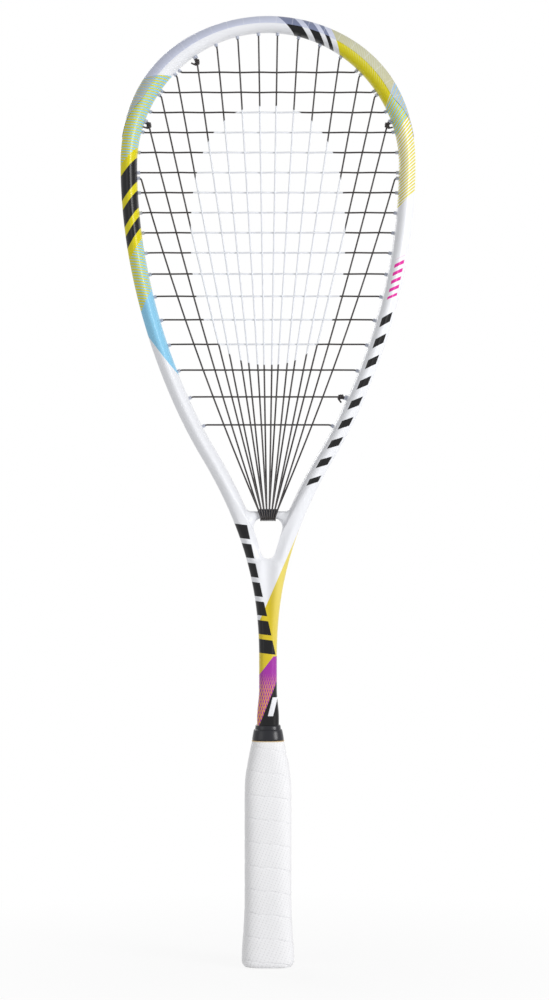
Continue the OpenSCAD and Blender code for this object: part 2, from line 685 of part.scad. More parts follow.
module pallet(side) {
    difference() {
        intersection() {
            sweep(pallet_rings);
            translate([-grip_w, side < 0 ? -grip_d : 0, 0]) cube([2 * grip_w, grip_d, 2 * grip_len]);
        }
        linear_extrude(2 * grip_len) polygon(tang_outline(fit_gap));
        staple_legs(seat_gap);
    }
}

module handle_pallet_front() {
    color("tan") pallet(-1);
}

module handle_pallet_back() {
    color("tan") pallet(1);
}

// Rounding of the butt end as [height, inset]
butt_rounding = [[0, 4], [1.2, 1.6], [3.5, 0.4], [cap_rim, 0]];

module butt_cap() {
    rings = concat([for (r = butt_rounding) handle_ring(r[0], r[1])],
        [for (z = [cap_rim, bulge_z, bulge_top, flare_h]) handle_ring(z, tape_t)]);
    color([0.9, 0.9, 0.92]) difference() {
        sweep(rings);
        translate([0, 0, cap_floor]) linear_extrude(grip_len) polygon(plug_outline(0));
        staple_legs(seat_gap);
        for (side = [-1, 1]) translate([0, side * (staple_y - staple_slot + grip_d / 2), staple_z])
            cube([staple_w + 2 * staple_slot, grip_d, 2 * staple_slot], center = true);
    }
}

// One wire staple on the front and one on the back hold the cap to the pallets
staple_w = 9;
staple_r = 0.4;
staple_leg = 4;
staple_z = 29;
staple_slot = staple_r + seat_gap;
staple_y = grip_half(staple_z, grip_d, grip_top_d) - tape_t - staple_r - seat_gap;

module staple_legs(gap) {
    for (x = [-1, 1], side = [-1, 1]) translate([x * staple_w / 2, side * staple_y, staple_z])
        rotate([side * 90, 0, 0]) cylinder(r = staple_r + gap, h = staple_leg + gap);
}

module butt_cap_staples() {
    color("silver") {
        staple_legs(0);
        for (side = [-1, 1]) translate([-staple_w / 2 - staple_r, side * staple_y, staple_z])
            rotate([0, 90, 0]) cylinder(r = staple_r, h = staple_w + 2 * staple_r);
    }
}

// One strip of tape wound up the handle, trimmed level at both ends
tape_foot = cap_rim + soft_gap;
tape_head = grip_len - soft_gap;
tape_inset = tape_t - soft_gap - fit_gap;
tape_end = 0.8;
function tape_z(n) = tape_foot - tape_pitch + tape_pitch * n / grip_corners;
function tape_low(n) = max(tape_foot, tape_z(n));
function tape_high(n) = min(tape_head, tape_z(n) + tape_pitch - tape_seam);
function tape_edge(n, z, inset) = handle_ring(z, inset)[(grip_corners * 100 - n) % grip_corners];
tape_steps = ceil((tape_head - tape_foot + tape_pitch) / tape_pitch * grip_corners);
function tape_ring(n, low, high) = [tape_edge(n, low, tape_inset), tape_edge(n, low, 0),
    tape_edge(n, high, 0), tape_edge(n, high, tape_inset)];
tape_rings = [for (n = [0 : tape_steps])
    let (low = tape_low(n), high = tape_high(n)) if (high - low > tape_end) tape_ring(n, low, high)];
tape_gaps = [for (i = [0 : len(tape_rings) - 1 - grip_corners])
    let (below = tape_rings[i], above = tape_rings[i + grip_corners])
    min(norm(above[0] - below[3]), norm(above[1] - below[2]))];
echo(least_gap_between_tape_turns = min(tape_gaps));

module grip_tape() {
    color("white") sweep(tape_rings);
}

// A narrow band holds down the top end of the grip tape
band_h = 1;
band_t = 0.3;

module finishing_tape() {
    low = handle_ring(tape_head - band_h, -seat_gap);
    low_out = handle_ring(tape_head - band_h, -seat_gap - band_t);
    high = handle_ring(tape_head, -seat_gap);
    high_out = handle_ring(tape_head, -seat_gap - band_t);
    rings = [for (j = [0 : grip_corners - 1]) [low[j], high[j], high_out[j], low_out[j]]];
    color([0.75, 0.7, 0.6]) polyhedron(flat(rings), skin(grip_corners, 4, true));
}

// A rubber collar slipped over the tang closes the top of the grip: a ring with a narrower lip
collar_steps = [[0, 0], [0.2, 0.1], [0.7, 1.2], [0.74, 1.8], [1, 2.2]];
collar_side_less = 0.5;

module grip_collar() {
    rings = [for (c = collar_steps)
        let (w = collar_w / 2 - c[1])
        at_height(bevelled(w, w - collar_side_less), grip_len + c[0] * collar_h)];
    color([0.13, 0.13, 0.14]) difference() {
        sweep(rings);
        linear_extrude(2 * grip_len) polygon(tang_outline(fit_gap));
    }
}

frame();
throat_bridge();
bridge_pad();
bumper_guard();
grommet_strip_left();
grommet_strip_right();
main_string();
cross_string();
handle_pallet_front();
handle_pallet_back();
butt_cap();
butt_cap_staples();
grip_tape();
finishing_tape();
grip_collar();
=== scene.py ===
import functools
import math

import bmesh
import bpy
from mathutils import Matrix, Vector


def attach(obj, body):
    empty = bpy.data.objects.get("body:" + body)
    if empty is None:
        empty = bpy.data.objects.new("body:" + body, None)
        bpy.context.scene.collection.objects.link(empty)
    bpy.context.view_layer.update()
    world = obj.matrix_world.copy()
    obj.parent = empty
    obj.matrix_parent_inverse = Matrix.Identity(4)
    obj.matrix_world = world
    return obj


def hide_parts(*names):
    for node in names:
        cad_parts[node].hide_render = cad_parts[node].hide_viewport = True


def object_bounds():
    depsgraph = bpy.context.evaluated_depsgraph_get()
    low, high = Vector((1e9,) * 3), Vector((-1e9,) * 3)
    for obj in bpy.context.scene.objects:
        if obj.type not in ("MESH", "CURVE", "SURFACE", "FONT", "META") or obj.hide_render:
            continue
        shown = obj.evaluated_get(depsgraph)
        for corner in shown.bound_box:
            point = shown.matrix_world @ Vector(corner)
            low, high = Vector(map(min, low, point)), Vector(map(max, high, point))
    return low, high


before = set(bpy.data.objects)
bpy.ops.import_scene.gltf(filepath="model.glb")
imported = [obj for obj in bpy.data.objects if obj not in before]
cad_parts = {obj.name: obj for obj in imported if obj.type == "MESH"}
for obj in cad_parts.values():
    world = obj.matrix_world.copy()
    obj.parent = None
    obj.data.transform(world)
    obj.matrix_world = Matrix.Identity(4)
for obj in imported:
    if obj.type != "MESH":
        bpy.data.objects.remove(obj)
cad_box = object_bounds()

# Frame: one moulded carbon tube, bent to a teardrop hoop whose two ends close up below the throat
# into the shaft and run on as a tang inside the handle. It is filled, painted and lacquered.
# A channel round the outside of the hoop takes the strings from hole to hole.
MM = 0.001
crown_z = cad_box[1].z / MM
head_half, arm_half, waist_half = 106.5, 48.4, 6.4
widest_drop, arm_drop, throat_drop, waist_drop = 106.5, 318.0, 392.0, 464.0
crown_beam, side_beam, arm_beam = 11.5, 11.9, 11.5
arm_lean = math.radians(31)
hoop_depth, shaft_depth = 19.0, 17.0
channel_w, channel_d, channel_draft, channel_reach = 7.2, 3.0, 0.2, 350.0
strip_t, strip_seat = 1.0, 0.1
bumper_reach, bumper_taper = 131.0, 32.0
bridge_drop, bridge_tall = 357.5, 5.1

across, down = Vector((1, 0)), Vector((0, -1))
arm_dir = Vector((-math.sin(arm_lean), -math.cos(arm_lean)))
crown_out, side_out = Vector((0, crown_z)), Vector((head_half, crown_z - widest_drop))
arm_out, waist = Vector((arm_half, crown_z - arm_drop)), Vector((waist_half, crown_z - waist_drop))
crown_in, side_in = crown_out + crown_beam * down, side_out - side_beam * across
arm_in = arm_out + arm_beam * Vector((arm_dir.y, -arm_dir.x))
throat = Vector((0, crown_z - throat_drop))
bridge_top = crown_z - bridge_drop
bridge_foot = bridge_top - bridge_tall


def curves_through(stops, pulls):
    """Bezier curves from stop to stop. A stop is a point and the way that the outline runs there."""
    ends = zip(stops, stops[1:], pulls)
    return [(a, a + pull_a * way_a, b - pull_b * way_b, b)
            for (a, way_a), (b, way_b), (pull_a, pull_b) in ends]


outer_curves = curves_through(
    [(crown_out, across), (side_out, down), (arm_out, arm_dir), (waist, down)],
    [(42.4, 81.0), (89.0, 49.0), (67.6, 43.4)])
inner_curves = curves_through(
    [(crown_in, across), (side_in, down), (arm_in, arm_dir), (throat, -across)],
    [(53.0, 49.0), (106.0, 21.7), (74.2, 9.9)])


def mix(a, b, t):
    return a + (b - a) * t


def clamp(t):
    return max(0.0, min(1.0, t))


def ease(t):
    t = clamp(t)
    return t * t * (3 - 2 * t)


def spread(a, b, n):
    return [mix(a, b, i / n) for i in range(n + 1)]


def halved(low, high, before):
    """Halves a range down to the place where the test stops being true."""
    for _ in range(40):
        mid = (low + high) / 2
        low, high = (mid, high) if before(mid) else (low, mid)
    return (low + high) / 2


# Stations run down each side: 0 is the crown, 1 the widest part, 2 the arms and 3 the waist.
def outline(curves, s):
    i = min(int(s), len(curves) - 1)
    t = s - i
    a, b, c, d = curves[i]
    return (1 - t) ** 3 * a + 3 * (1 - t) ** 2 * t * b + 3 * (1 - t) * t * t * c + t ** 3 * d


def hoop_out(s):
    return outline(outer_curves, s)


def run_dir(s):
    nudge = 0.001
    return (hoop_out(s + nudge) - hoop_out(max(0, s - nudge))).normalized()


def ahead(s, p):
    return (p - hoop_out(s)).dot(run_dir(s))


throat_station = halved(2, 3, lambda s: ahead(s, throat) > 0)


@functools.lru_cache(maxsize=None)
def hoop_in(s):
    """The point inside the hoop that lies square across the beam from a station."""
    if s == 0:
        return crown_in
    if s == throat_station:
        return throat
    if s > throat_station:
        return Vector((0, hoop_out(s).y))
    m = halved(max(0, s - 1), min(3, s + 1), lambda m: ahead(s, outline(inner_curves, m)) < 0)
    return outline(inner_curves, m)


def beam(s):
    return (hoop_out(s) - hoop_in(s)).length


def place(station, u, y):
    """A point u outwards from the inside of the hoop. A negative station is on the left."""
    s = abs(station)
    p = hoop_in(s) + (hoop_out(s) - hoop_in(s)).normalized() * u
    return Vector((math.copysign(p.x, station) if station else p.x, y, p.y))


arc_steps = 400
inside_arcs = [(0.0, 0.0)]
for s in spread(0, 2, arc_steps)[1:]:
    arc, last = inside_arcs[-1]
    inside_arcs.append((arc + (hoop_in(s) - hoop_in(last)).length, s))


def station_at(arc):
    """The station at a distance from the crown, measured along the inside of the hoop."""
    i = next(i for i, row in enumerate(inside_arcs) if row[0] >= arc)
    (a, s), (b, t) = inside_arcs[max(0, i - 1)], inside_arcs[i]
    return t if i == 0 else mix(s, t, (arc - a) / (b - a))


bumper_end, bumper_tail = station_at(bumper_reach), station_at(bumper_reach - bumper_taper)
channel_end, channel_fade = station_at(channel_reach), station_at(channel_reach + 2 * channel_d)

# The section as shares of the beam's width and half depth: the hoop's crest runs along the middle
# of its faces. Below the throat the two halves meet in a soft crease, which fades into a round shaft.
hoop_profile = [Vector(p) for p in ((0.97, 0.52), (0.8, 0.8), (0.5, 1), (0.2, 0.78), (0.05, 0.42))]
shaft_profile = [Vector(p) for p in ((0.9, 0.66), (0.56, 0.94), (0, 1), (0, 0.78), (0, 0.42))]
creased_profile = [Vector(p) for p in ((0.92, 0.62), (0.56, 1), (0, 0.78), (0, 0.61), (0, 0.32))]
edge_profile = [Vector(p) for p in ((1, 0.12), (1, 0.34))]
curve_steps = (2, 3, 5, 5, 4, 3, 3)
merge_above, crease_len = 22.0, 58.0
seat_lags = (0.2, 1.0)


def merge_share(s):
    start = bridge_top + merge_above
    return ease((start - hoop_in(s).y) / (start - throat.y))


def crease_share(s):
    return 1 - ease((throat.y - hoop_in(s).y) / crease_len)


def channel_share(s):
    return clamp((channel_fade - s) / (channel_fade - channel_end))


def shell_share(s):
    """How much of the outer face the bumper covers: all of it, then less along its tapered tails."""
    return ease((bumper_end - s) / (bumper_end - bumper_tail))


def depth_at(s):
    return mix(hoop_depth, shaft_depth, ease(s - 2))


def toward_core(p, w, by):
    return p - by * (p - Vector((w / 2, 0))).normalized()


def hermite(p, q, leaving, arriving, t):
    """A point on the smooth curve from p to q with the given slopes at its ends."""
    back = 1 - t
    bent = t * back * back * leaving - t * t * back * arriving
    return (1 + 2 * t) * back * back * p + t * t * (3 - 2 * t) * q + bent


def curved_half(points, merged, channel):
    """The half section through its corner points, smooth except at the lips of the channel."""
    p = points + [Vector((0, 0))]
    past_crest = p[5].lerp(Vector((-p[3].x, p[3].y)), merged)
    slopes = [(b - a) / 2 for a, b in zip(p[:-2], p[2:])]
    slopes = [(p[1] - Vector((p[0].x, -p[0].y))) / 2] + slopes + [Vector((0, -p[6].y))]
    slopes[4] = (past_crest - p[3]) / 2
    leaving = list(slopes)
    leaving[0] = slopes[0].lerp(p[1] - p[0], channel)
    leaving[1] = slopes[1].lerp(p[2] - p[1], channel)
    slopes[1] = slopes[1].lerp(p[1] - p[0], channel)
    half = []
    for i, steps in enumerate(curve_steps):
        for t in spread(0, 1, steps)[:-1]:
            q = hermite(p[i], p[i + 1], leaving[i], slopes[i + 1], t)
            half.append(Vector((max(0.0, q.x), q.y)))
    return half + [p[-1]]


def flipped(points):
    return [Vector((p.x, -p.y)) for p in points]


def both_faces(half):
    return flipped(half) + half[-2::-1]


def scaled(profile, w, h):
    return [Vector((p.x * w, p.y * h)) for p in profile]


def hoop_section(s, covered=False):
    """Half the beam's section at a station, cut back where the bumper sits on it."""
    w, h = beam(s), depth_at(s) / 2
    merged, channel = merge_share(s), channel_share(s)
    joined = [a.lerp(b, crease_share(s)) for a, b in zip(shaft_profile, creased_profile)]
    rounds = scaled([a.lerp(b, merged) for a, b in zip(hoop_profile, joined)], w, h)
    lip = Vector((w, channel_w / 2))
    if covered:
        sunk = [ease(2 * shell_share(s) - lag) * (strip_t + strip_seat) for lag in seat_lags]
        rounds[:2] = [toward_core(p, w, by) for p, by in zip(rounds, sunk)]
        lip.x -= strip_t + 2 * strip_seat
    bed = Vector((w - channel_d, channel_w / 2 - channel_draft))
    edge = [plain.lerp(cut, channel) for plain, cut in zip(scaled(edge_profile, w, h), (bed, lip))]
    return curved_half(edge + rounds, merged, channel)


def shaft_section(w, h):
    return curved_half(scaled(edge_profile + shaft_profile, w, h), 1, 0)


def new_layers(bm, *names):
    return [bm.verts.layers.float.new(name) for name in names]


def sweep(bm, rings, marks=()):
    """Extrudes a ring of points from ring to ring. Marks are (layer, value of ring and point)."""
    ring = [bm.verts.new(p * MM) for p in rings[0]]
    edges = [bm.edges.new(pair) for pair in zip(ring, ring[1:] + ring[:1])]
    first = list(ring)
    for i, points in enumerate(rings):
        if i:
            grown = bmesh.ops.extrude_edge_only(bm, edges=edges)["geom"]
            fresh = {v for v in grown if isinstance(v, bmesh.types.BMVert)}
            edges = [e for e in grown if isinstance(e, bmesh.types.BMEdge)]
            ring = [next(e.other_vert(v) for e in v.link_edges if e.other_vert(v) in fresh) for v in ring]
        for j, (vert, p) in enumerate(zip(ring, points)):
            vert.co = p * MM
            for layer, value in marks:
                vert[layer] = value(i, j)
    return first, ring


def add_object(name, data):
    thing = bpy.data.objects.new(name, data)
    bpy.context.scene.collection.objects.link(thing)
    return thing


def make_piece(bm, name, sharp=40):
    """Makes an object of a bmesh, smooth except where its faces meet at more than the sharp angle."""
    bmesh.ops.recalc_face_normals(bm, faces=bm.faces)
    mesh = bpy.data.meshes.new(name)
    bm.to_mesh(mesh)
    bm.free()
    mesh.shade_smooth()
    mesh.set_sharp_from_angle(angle=math.radians(sharp))
    return add_object(name, mesh)


def dress(piece, material, slot, *nodes):
    piece.data.materials.append(material)
    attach(piece, "root")
    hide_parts(*nodes)


# The stations close up towards the foot of the throat, where the inside turns sharply.
shell_gap, closing_up = 0.0015, 2.6
covered_stations = spread(0, bumper_end, 64)
open_stations = spread(bumper_end + shell_gap, channel_end, 90) + spread(channel_fade, 2, 8)
open_stations += [mix(throat_station, 2, (1 - t) ** closing_up) for t in spread(0, 1, 60)[1:]]
shaft_stations = spread(throat_station, 3, 30)[1:]
frame_rings, frame_shares, frame_runs = [], [], []
for s in covered_stations + open_stations + shaft_stations:
    section = both_faces(hoop_section(s, covered=s <= bumper_end))
    frame_rings.append([place(s, p.x, p.y) for p in section])
    frame_shares.append([p.x / beam(s) for p in section])
    middle = (hoop_in(s) + hoop_out(s)) / 2
    run = (middle - frame_runs[-1][0]).length + frame_runs[-1][1] if frame_runs else 0.0
    frame_runs.append((middle, run))
tang_half, tang_depth = 7.9, 15.0
tang_drop, tang_taper, tang_foot = 507.0, 21.0, 6.0
tang_top = crown_z - tang_drop
for z in spread(tang_top + tang_taper, tang_top, 10) + [tang_foot]:
    t = ease((tang_top + tang_taper - z) / tang_taper)
    half_w = mix(waist_half, tang_half, t)
    section = both_faces(shaft_section(half_w, mix(shaft_depth, tang_depth, t) / 2))
    frame_rings.append([Vector((p.x, p.y, z)) for p in section])
    frame_shares.append([p.x / half_w for p in section])
    frame_runs.append((Vector((0, z)), frame_runs[-1][1]))

bm = bmesh.new()
run_layer, share_layer = new_layers(bm, "run", "share")
sweep(bm, frame_rings, [(run_layer, lambda i, j: frame_runs[i][1]),
                        (share_layer, lambda i, j: frame_shares[i][j])])
on_middle = 1e-8
middle_faces = [f for f in bm.faces if all(abs(v.co.x) < on_middle for v in f.verts)]
bmesh.ops.delete(bm, geom=middle_faces, context="FACES")
half_frame = bm.verts[:] + bm.edges[:] + bm.faces[:]
bmesh.ops.mirror(bm, geom=half_frame, matrix=Matrix.Identity(4), merge_dist=1e-7, axis="X")
bmesh.ops.holes_fill(bm, edges=[e for e in bm.edges if e.is_boundary])
frame_piece = make_piece(bm, "painted_frame", 38)


def colour(r, g, b):
    """A colour given as the eye sees it, in shares of 255."""
    def linear(c):
        c /= 255
        return c / 12.92 if c <= 0.04045 else ((c + 0.055) / 1.055) ** 2.4
    return (linear(r), linear(g), linear(b), 1.0)


def add_node(tree, kind, inputs=None, **settings):
    """Adds a node. Inputs are sockets to link or plain values."""
    node = tree.nodes.new("ShaderNode" + kind)
    for name, value in settings.items():
        setattr(node, name, value)
    for key, value in (inputs or {}).items():
        if isinstance(value, bpy.types.NodeSocket):
            tree.links.new(value, node.inputs[key])
        else:
            node.inputs[key].default_value = value
    return node


def tree_of(*values):
    return next(v.id_data for v in values if isinstance(v, bpy.types.NodeSocket))


def link(value, socket):
    socket.id_data.links.new(value, socket)


def calc(operation, a, b=0.0, c=0.0, clamp=False):
    """One step of arithmetic, in the tree that the sockets among its values belong to."""
    tree, values = tree_of(a, b, c), {0: a, 1: b, 2: c}
    return add_node(tree, "Math", values, operation=operation, use_clamp=clamp).outputs[0]


def mark(tree, name):
    """A value that the points of a piece carry."""
    return add_node(tree, "Attribute", attribute_name=name).outputs["Fac"]


def paint_over(under, over, mask):
    tree, values = tree_of(under, over, mask), {0: mask, 6: under, 7: over}
    return add_node(tree, "Mix", values, data_type="RGBA").outputs[2]


def new_group(name, inputs, outputs):
    """Starts a node group. Its sockets are numbers, apart from a position or a colour."""
    kinds = {"Position": "NodeSocketVector", "Colour": "NodeSocketColor"}
    tree = bpy.data.node_groups.new(name, "ShaderNodeTree")
    for in_out, labels in (("INPUT", inputs), ("OUTPUT", outputs)):
        for label in labels:
            kind = kinds.get(label, "NodeSocketFloat")
            tree.interface.new_socket(label, in_out=in_out, socket_type=kind)
    return tree, tree.nodes.new("NodeGroupInput").outputs, tree.nodes.new("NodeGroupOutput").inputs


def join_group(tree, group, values):
    return add_node(tree, "Group", values, node_tree=group).outputs


def new_material(name, **shader_values):
    material = bpy.data.materials.new(name)
    material.use_nodes = True
    tree = material.node_tree
    shader = tree.nodes["Principled BSDF"]
    for label, value in shader_values.items():
        shader.inputs[label.replace("_", " ")].default_value = value
    return material, tree, shader


slanted_band, given, result = new_group(
    "slanted_band", ("Run", "Share", "Start", "End", "Slant", "Softness"), ("Mask",))
slid = calc("MULTIPLY_ADD", given["Share"], given["Slant"], given["Run"])
risen = calc("SUBTRACT", slid, given["Start"])
risen = calc("DIVIDE", risen, given["Softness"], clamp=True)
fallen = calc("SUBTRACT", given["End"], slid)
fallen = calc("DIVIDE", fallen, given["Softness"], clamp=True)
link(calc("MULTIPLY", risen, fallen), result["Mask"])

stripe_crispness = 5.0
pinstripes, given, result = new_group(
    "pinstripes", ("Run", "Share", "Pitch", "Fill", "Slant"), ("Mask",))
slid = calc("MULTIPLY_ADD", given["Share"], given["Slant"], given["Run"])
phase = calc("FRACT", calc("DIVIDE", slid, given["Pitch"]))
off_middle = calc("ABSOLUTE", calc("SUBTRACT", phase, 0.5))
inside = calc("SUBTRACT", calc("MULTIPLY", given["Fill"], 0.5), off_middle)
inside = calc("MULTIPLY", inside, given["Pitch"])
stripe = calc("MULTIPLY_ADD", inside, stripe_crispness, 0.5, clamp=True)
link(stripe, result["Mask"])

blotch_scale = 28.0
fine_grain, given, result = new_group(
    "fine_grain", ("Position", "Scale", "Roughness", "Spread"), ("Height", "Roughness", "Blotch"))
close = add_node(fine_grain, "TexNoise", {
    "Vector": given["Position"], "Scale": given["Scale"], "Detail": 3.0})
wide = add_node(fine_grain, "TexNoise", {
    "Vector": given["Position"], "Scale": blotch_scale, "Detail": 2.0})
off_mean = calc("SUBTRACT", wide.outputs["Fac"], 0.5)
varied = calc("MULTIPLY_ADD", off_mean, given["Spread"], given["Roughness"])
link(close.outputs["Fac"], result["Height"])
link(varied, result["Roughness"])
link(wide.outputs["Fac"], result["Blotch"])


def grained(tree, shader, scale, roughness, waver, bump_mm, strength):
    """Gives a shader fine grain. Returns the place on the piece and the grain's values."""
    position = add_node(tree, "TexCoord").outputs["Object"]
    grain = join_group(tree, fine_grain, {
        "Position": position, "Scale": scale, "Roughness": roughness, "Spread": waver})
    bump = add_node(tree, "Bump", {
        "Height": grain["Height"], "Distance": bump_mm * MM, "Strength": strength})
    link(grain["Roughness"], shader.inputs["Roughness"])
    link(bump.outputs["Normal"], shader.inputs["Normal"])
    return position, grain


white, greyed_white = colour(240, 241, 245), colour(230, 232, 238)
yellow, pale_yellow = colour(222, 210, 12), colour(232, 228, 140)
# The paler gold is a painted highlight, laid over the golden wedge.
golden, gold_painted_highlight, amber = colour(220, 196, 44), colour(231, 213, 106), colour(234, 172, 44)
sky = colour(142, 204, 236)
ink = colour(16, 16, 18)
purple, magenta = colour(164, 52, 164), colour(222, 40, 158)

tree, given, result = new_group("frame_paint", ("Run", "Share", "Position", "Blotch"), ("Colour",))
frame_paint, run, share = tree, given["Run"], given["Share"]
axes = add_node(tree, "SeparateXYZ", {"Vector": given["Position"]}).outputs
x_mm = calc("MULTIPLY", axes["X"], 1 / MM)
z_mm = calc("MULTIPLY", axes["Z"], 1 / MM)
on_right = calc("GREATER_THAN", x_mm, 0.0)
on_left = calc("LESS_THAN", x_mm, 0.0)


def band(side, stretch, slant, softness=0.4):
    """A band across the beam: its stretch in millimetres from the crown, and its slant."""
    mask = join_group(tree, slanted_band, {
        "Run": run, "Share": share, "Start": stretch[0], "End": stretch[1],
        "Slant": slant, "Softness": softness})["Mask"]
    return calc("MULTIPLY", mask, side)


def stripes(pitch, fill, slant, along=run):
    return join_group(tree, pinstripes, {
        "Run": along, "Share": share, "Pitch": pitch, "Fill": fill, "Slant": slant})["Mask"]


def both(*masks):
    return functools.reduce(lambda a, b: calc("MULTIPLY", a, b), masks)


def leaned(slope, level, shift):
    """A line: a slope times a level, and a shift."""
    return calc("MULTIPLY_ADD", level, slope, shift)


def past_edge(distance):
    """A mask with a sharp edge, from the distance past it in millimetres."""
    sharpness = 3.0
    return calc("MULTIPLY", distance, sharpness, clamp=True)


def under_line(slope, at_middle):
    """Below a line drawn across the shaft, by its slope and its height on the middle plane."""
    return past_edge(calc("SUBTRACT", leaned(slope, x_mm, at_middle), z_mm))


def between_heights(top, foot):
    return calc("SUBTRACT", under_line(0.0, top), under_line(0.0, foot))


# Right shoulder: a yellow field with fine light stripes, then sky blue, then stripes alone
right_slant, right_bars = 14.0, ((20, 32), (37, 45), (49, 53))
yellow_field, lit_field, sky_field, striped_field = (58, 114), (58, 112), (114, 138), (114, 192)
toward_outside = calc("MULTIPLY_ADD", share, 2.6, -0.55, clamp=True)
light_lines = both(stripes(2.4, 0.44, 16.0), band(on_right, lit_field, right_slant, 16.0), toward_outside)
yellow_lines = both(stripes(2.4, 0.52, 11.0), band(on_right, striped_field, right_slant))
coats = [(greyed_white, calc("MULTIPLY", given["Blotch"], 0.5)),
         (yellow, band(on_right, yellow_field, right_slant)),
         (pale_yellow, light_lines),
         (sky, band(on_right, sky_field, right_slant)),
         (yellow, yellow_lines)]
coats += [(ink, band(on_right, bar, right_slant)) for bar in right_bars]

# Left side: sky blue and level yellow stripes, a yellow field with straight bars, stripes, sky blue
left_slant, left_bars = -14.0, ((154, 172), (178, 191), (197, 206))
upper_sky, left_field, lower_lines, lower_sky = (84, 148), (146, 214), (212, 252), (212, 318)
fuller_outside = calc("MULTIPLY_ADD", share, 0.4, 0.34)
level_lines = stripes(2.0, fuller_outside, 0.0, leaned(0.12, x_mm, z_mm))
coats += [(sky, band(on_left, upper_sky, left_slant)),
          (sky, band(on_left, lower_sky, 34.0)),
          (yellow, both(level_lines, band(on_left, upper_sky, left_slant))),
          (yellow, both(level_lines, band(on_left, lower_lines, left_slant))),
          (yellow, band(on_left, left_field, left_slant))]
coats += [(ink, band(on_left, bar, left_slant)) for bar in left_bars]

# Right arm: evenly spaced slanted bars, the upper ones magenta
magenta_stretch, ink_stretch = (232, 262), (268, 410)
on_face = join_group(tree, slanted_band, {
    "Run": share, "Share": 0.0, "Start": 0.3, "End": 0.86, "Slant": 0.0, "Softness": 0.02})["Mask"]
coats += [(magenta, both(on_face, stripes(6.0, 0.45, 9.0), band(on_right, magenta_stretch, 9.0))),
          (ink, both(on_face, stripes(16.0, 0.44, 12.0), band(on_right, ink_stretch, 12.0)))]

# Shaft: a golden wedge from the right, paler towards its right edge where a highlight is painted into it, and
# dark bars on the left
wedge_top, bars_top, bars_foot = 318.0, 320.0, 223.0
in_wedge = past_edge(calc("SUBTRACT", x_mm, leaned(0.4357, z_mm, -115.0)))
# Painted highlight: the gold turns paler towards the right, as if light fell on it there.
gold = paint_over(golden, gold_painted_highlight, calc("MULTIPLY_ADD", x_mm, 0.16, -0.3, clamp=True))
left_of_edge = past_edge(calc("SUBTRACT", leaned(-0.22, z_mm, 55.2), x_mm))
bars = stripes(13.5, 0.74, 0.0, leaned(0.12, x_mm, calc("ADD", z_mm, 5.5)))
coats += [(gold, both(in_wedge, under_line(0.0, wedge_top))),
          (ink, both(bars, left_of_edge, between_heights(bars_top, bars_foot)))]

# Below them purple, which breaks up into a net, and dark paint with one light bar above the collar
purple_top, net_top, net_fade, net_pitch = 224.0, 212.0, 30.0, 1.7
light_top, light_foot, light_half = 194.5, 181.0, 2.0
fading = calc("DIVIDE", calc("SUBTRACT", net_top, z_mm), net_fade, clamp=True)
net_fill = calc("MULTIPLY_ADD", fading, 0.2, 0.12)
net = calc("MAXIMUM", *(stripes(net_pitch, net_fill, 0.0, leaned(slope, z_mm, x_mm))
                              for slope in (0.24, -0.4)))
off_bar = calc("ABSOLUTE", calc("ADD", leaned(-0.25, z_mm, x_mm), 43.4))
light_bar = past_edge(calc("SUBTRACT", light_half, off_bar))
coats += [(purple, both(under_line(1.3, 219.0), under_line(0.0, purple_top))),
          (amber, both(net, calc("MULTIPLY", fading, 3.0, clamp=True))),
          (ink, under_line(2.5, 190.0)),
          (white, both(light_bar, between_heights(light_top, light_foot)))]
coat = white
for paint, mask in coats:
    coat = paint_over(coat, paint, mask)
link(coat, result["Colour"])


def painted(tree, position, grain):
    """The frame's paint at a place, read from the run and share that the piece's points carry."""
    values = {"Run": mark(tree, "run"), "Share": mark(tree, "share"), "Position": position}
    return join_group(tree, frame_paint, {**values, "Blotch": grain["Blotch"]})["Colour"]


lacquer, tree, shader = new_material(
    "frame_lacquer", Coat_Weight=0.12, Coat_Roughness=0.12, Specular_IOR_Level=0.2)
position, grain = grained(
    tree, shader, scale=900.0, roughness=0.3, waver=0.12, bump_mm=0.006, strength=0.2)
link(painted(tree, position, grain), shader.inputs["Base Color"])
dress(frame_piece, lacquer, "frame_lacquer", "frame")

# Throat bridge: a short moulded bar between the arms that closes the hoop below the strings.
# It is bonded to the arms with rounded corners above and below, and painted with the frame.
bridge_depth, bridge_flare, flare_power = 9.0, 3.8, 1.5
top_round, foot_round = 5.0, 6.5
bar_squareness, end_squareness = 0.62, 0.9
chord_below, chord_above = 1.3, 0.6
sunk_depths = (1.5, 3.0, 4.5)
bridge_sides, straight_steps, corner_steps, flare_step = 32, 10, 18, 8
plain_run = 420.0


def arm_side(z):
    """Where the arm's inner side stands at a height near the bridge."""
    return Vector((outline(inner_curves, halved(2, 3, lambda m: outline(inner_curves, m).y > z)).x, z))


# The stretch of the arm's side that the corners meet is taken as straight.
arm_low = arm_side(bridge_foot - chord_below * foot_round)
arm_high = arm_side(bridge_top + chord_above * top_round)
arm_up = (arm_high - arm_low).normalized()
into_arm = Vector((arm_up.y, -arm_up.x))


def bridge_edge(height, radius, turn_from):
    """Half of an edge of the bridge, from the middle to where its rounded corner runs into the arm."""
    core_z = height - math.copysign(radius, turn_from)
    core_x = arm_low.x - (radius - (arm_low.y - core_z) * into_arm.y) / into_arm.x
    core = Vector((core_x, core_z))
    turn_to = math.atan2(into_arm.y, into_arm.x)
    straight = [Vector((x, height)) for x in spread(0, core_x, straight_steps)]
    turns = spread(turn_from, turn_to, corner_steps)[1:]
    arc = [core + radius * Vector((math.cos(a), math.sin(a))) for a in turns]
    return straight + arc + [arc[-1] + depth * into_arm for depth in sunk_depths]


def around(sides):
    return [2 * math.pi * i / sides for i in range(sides)]


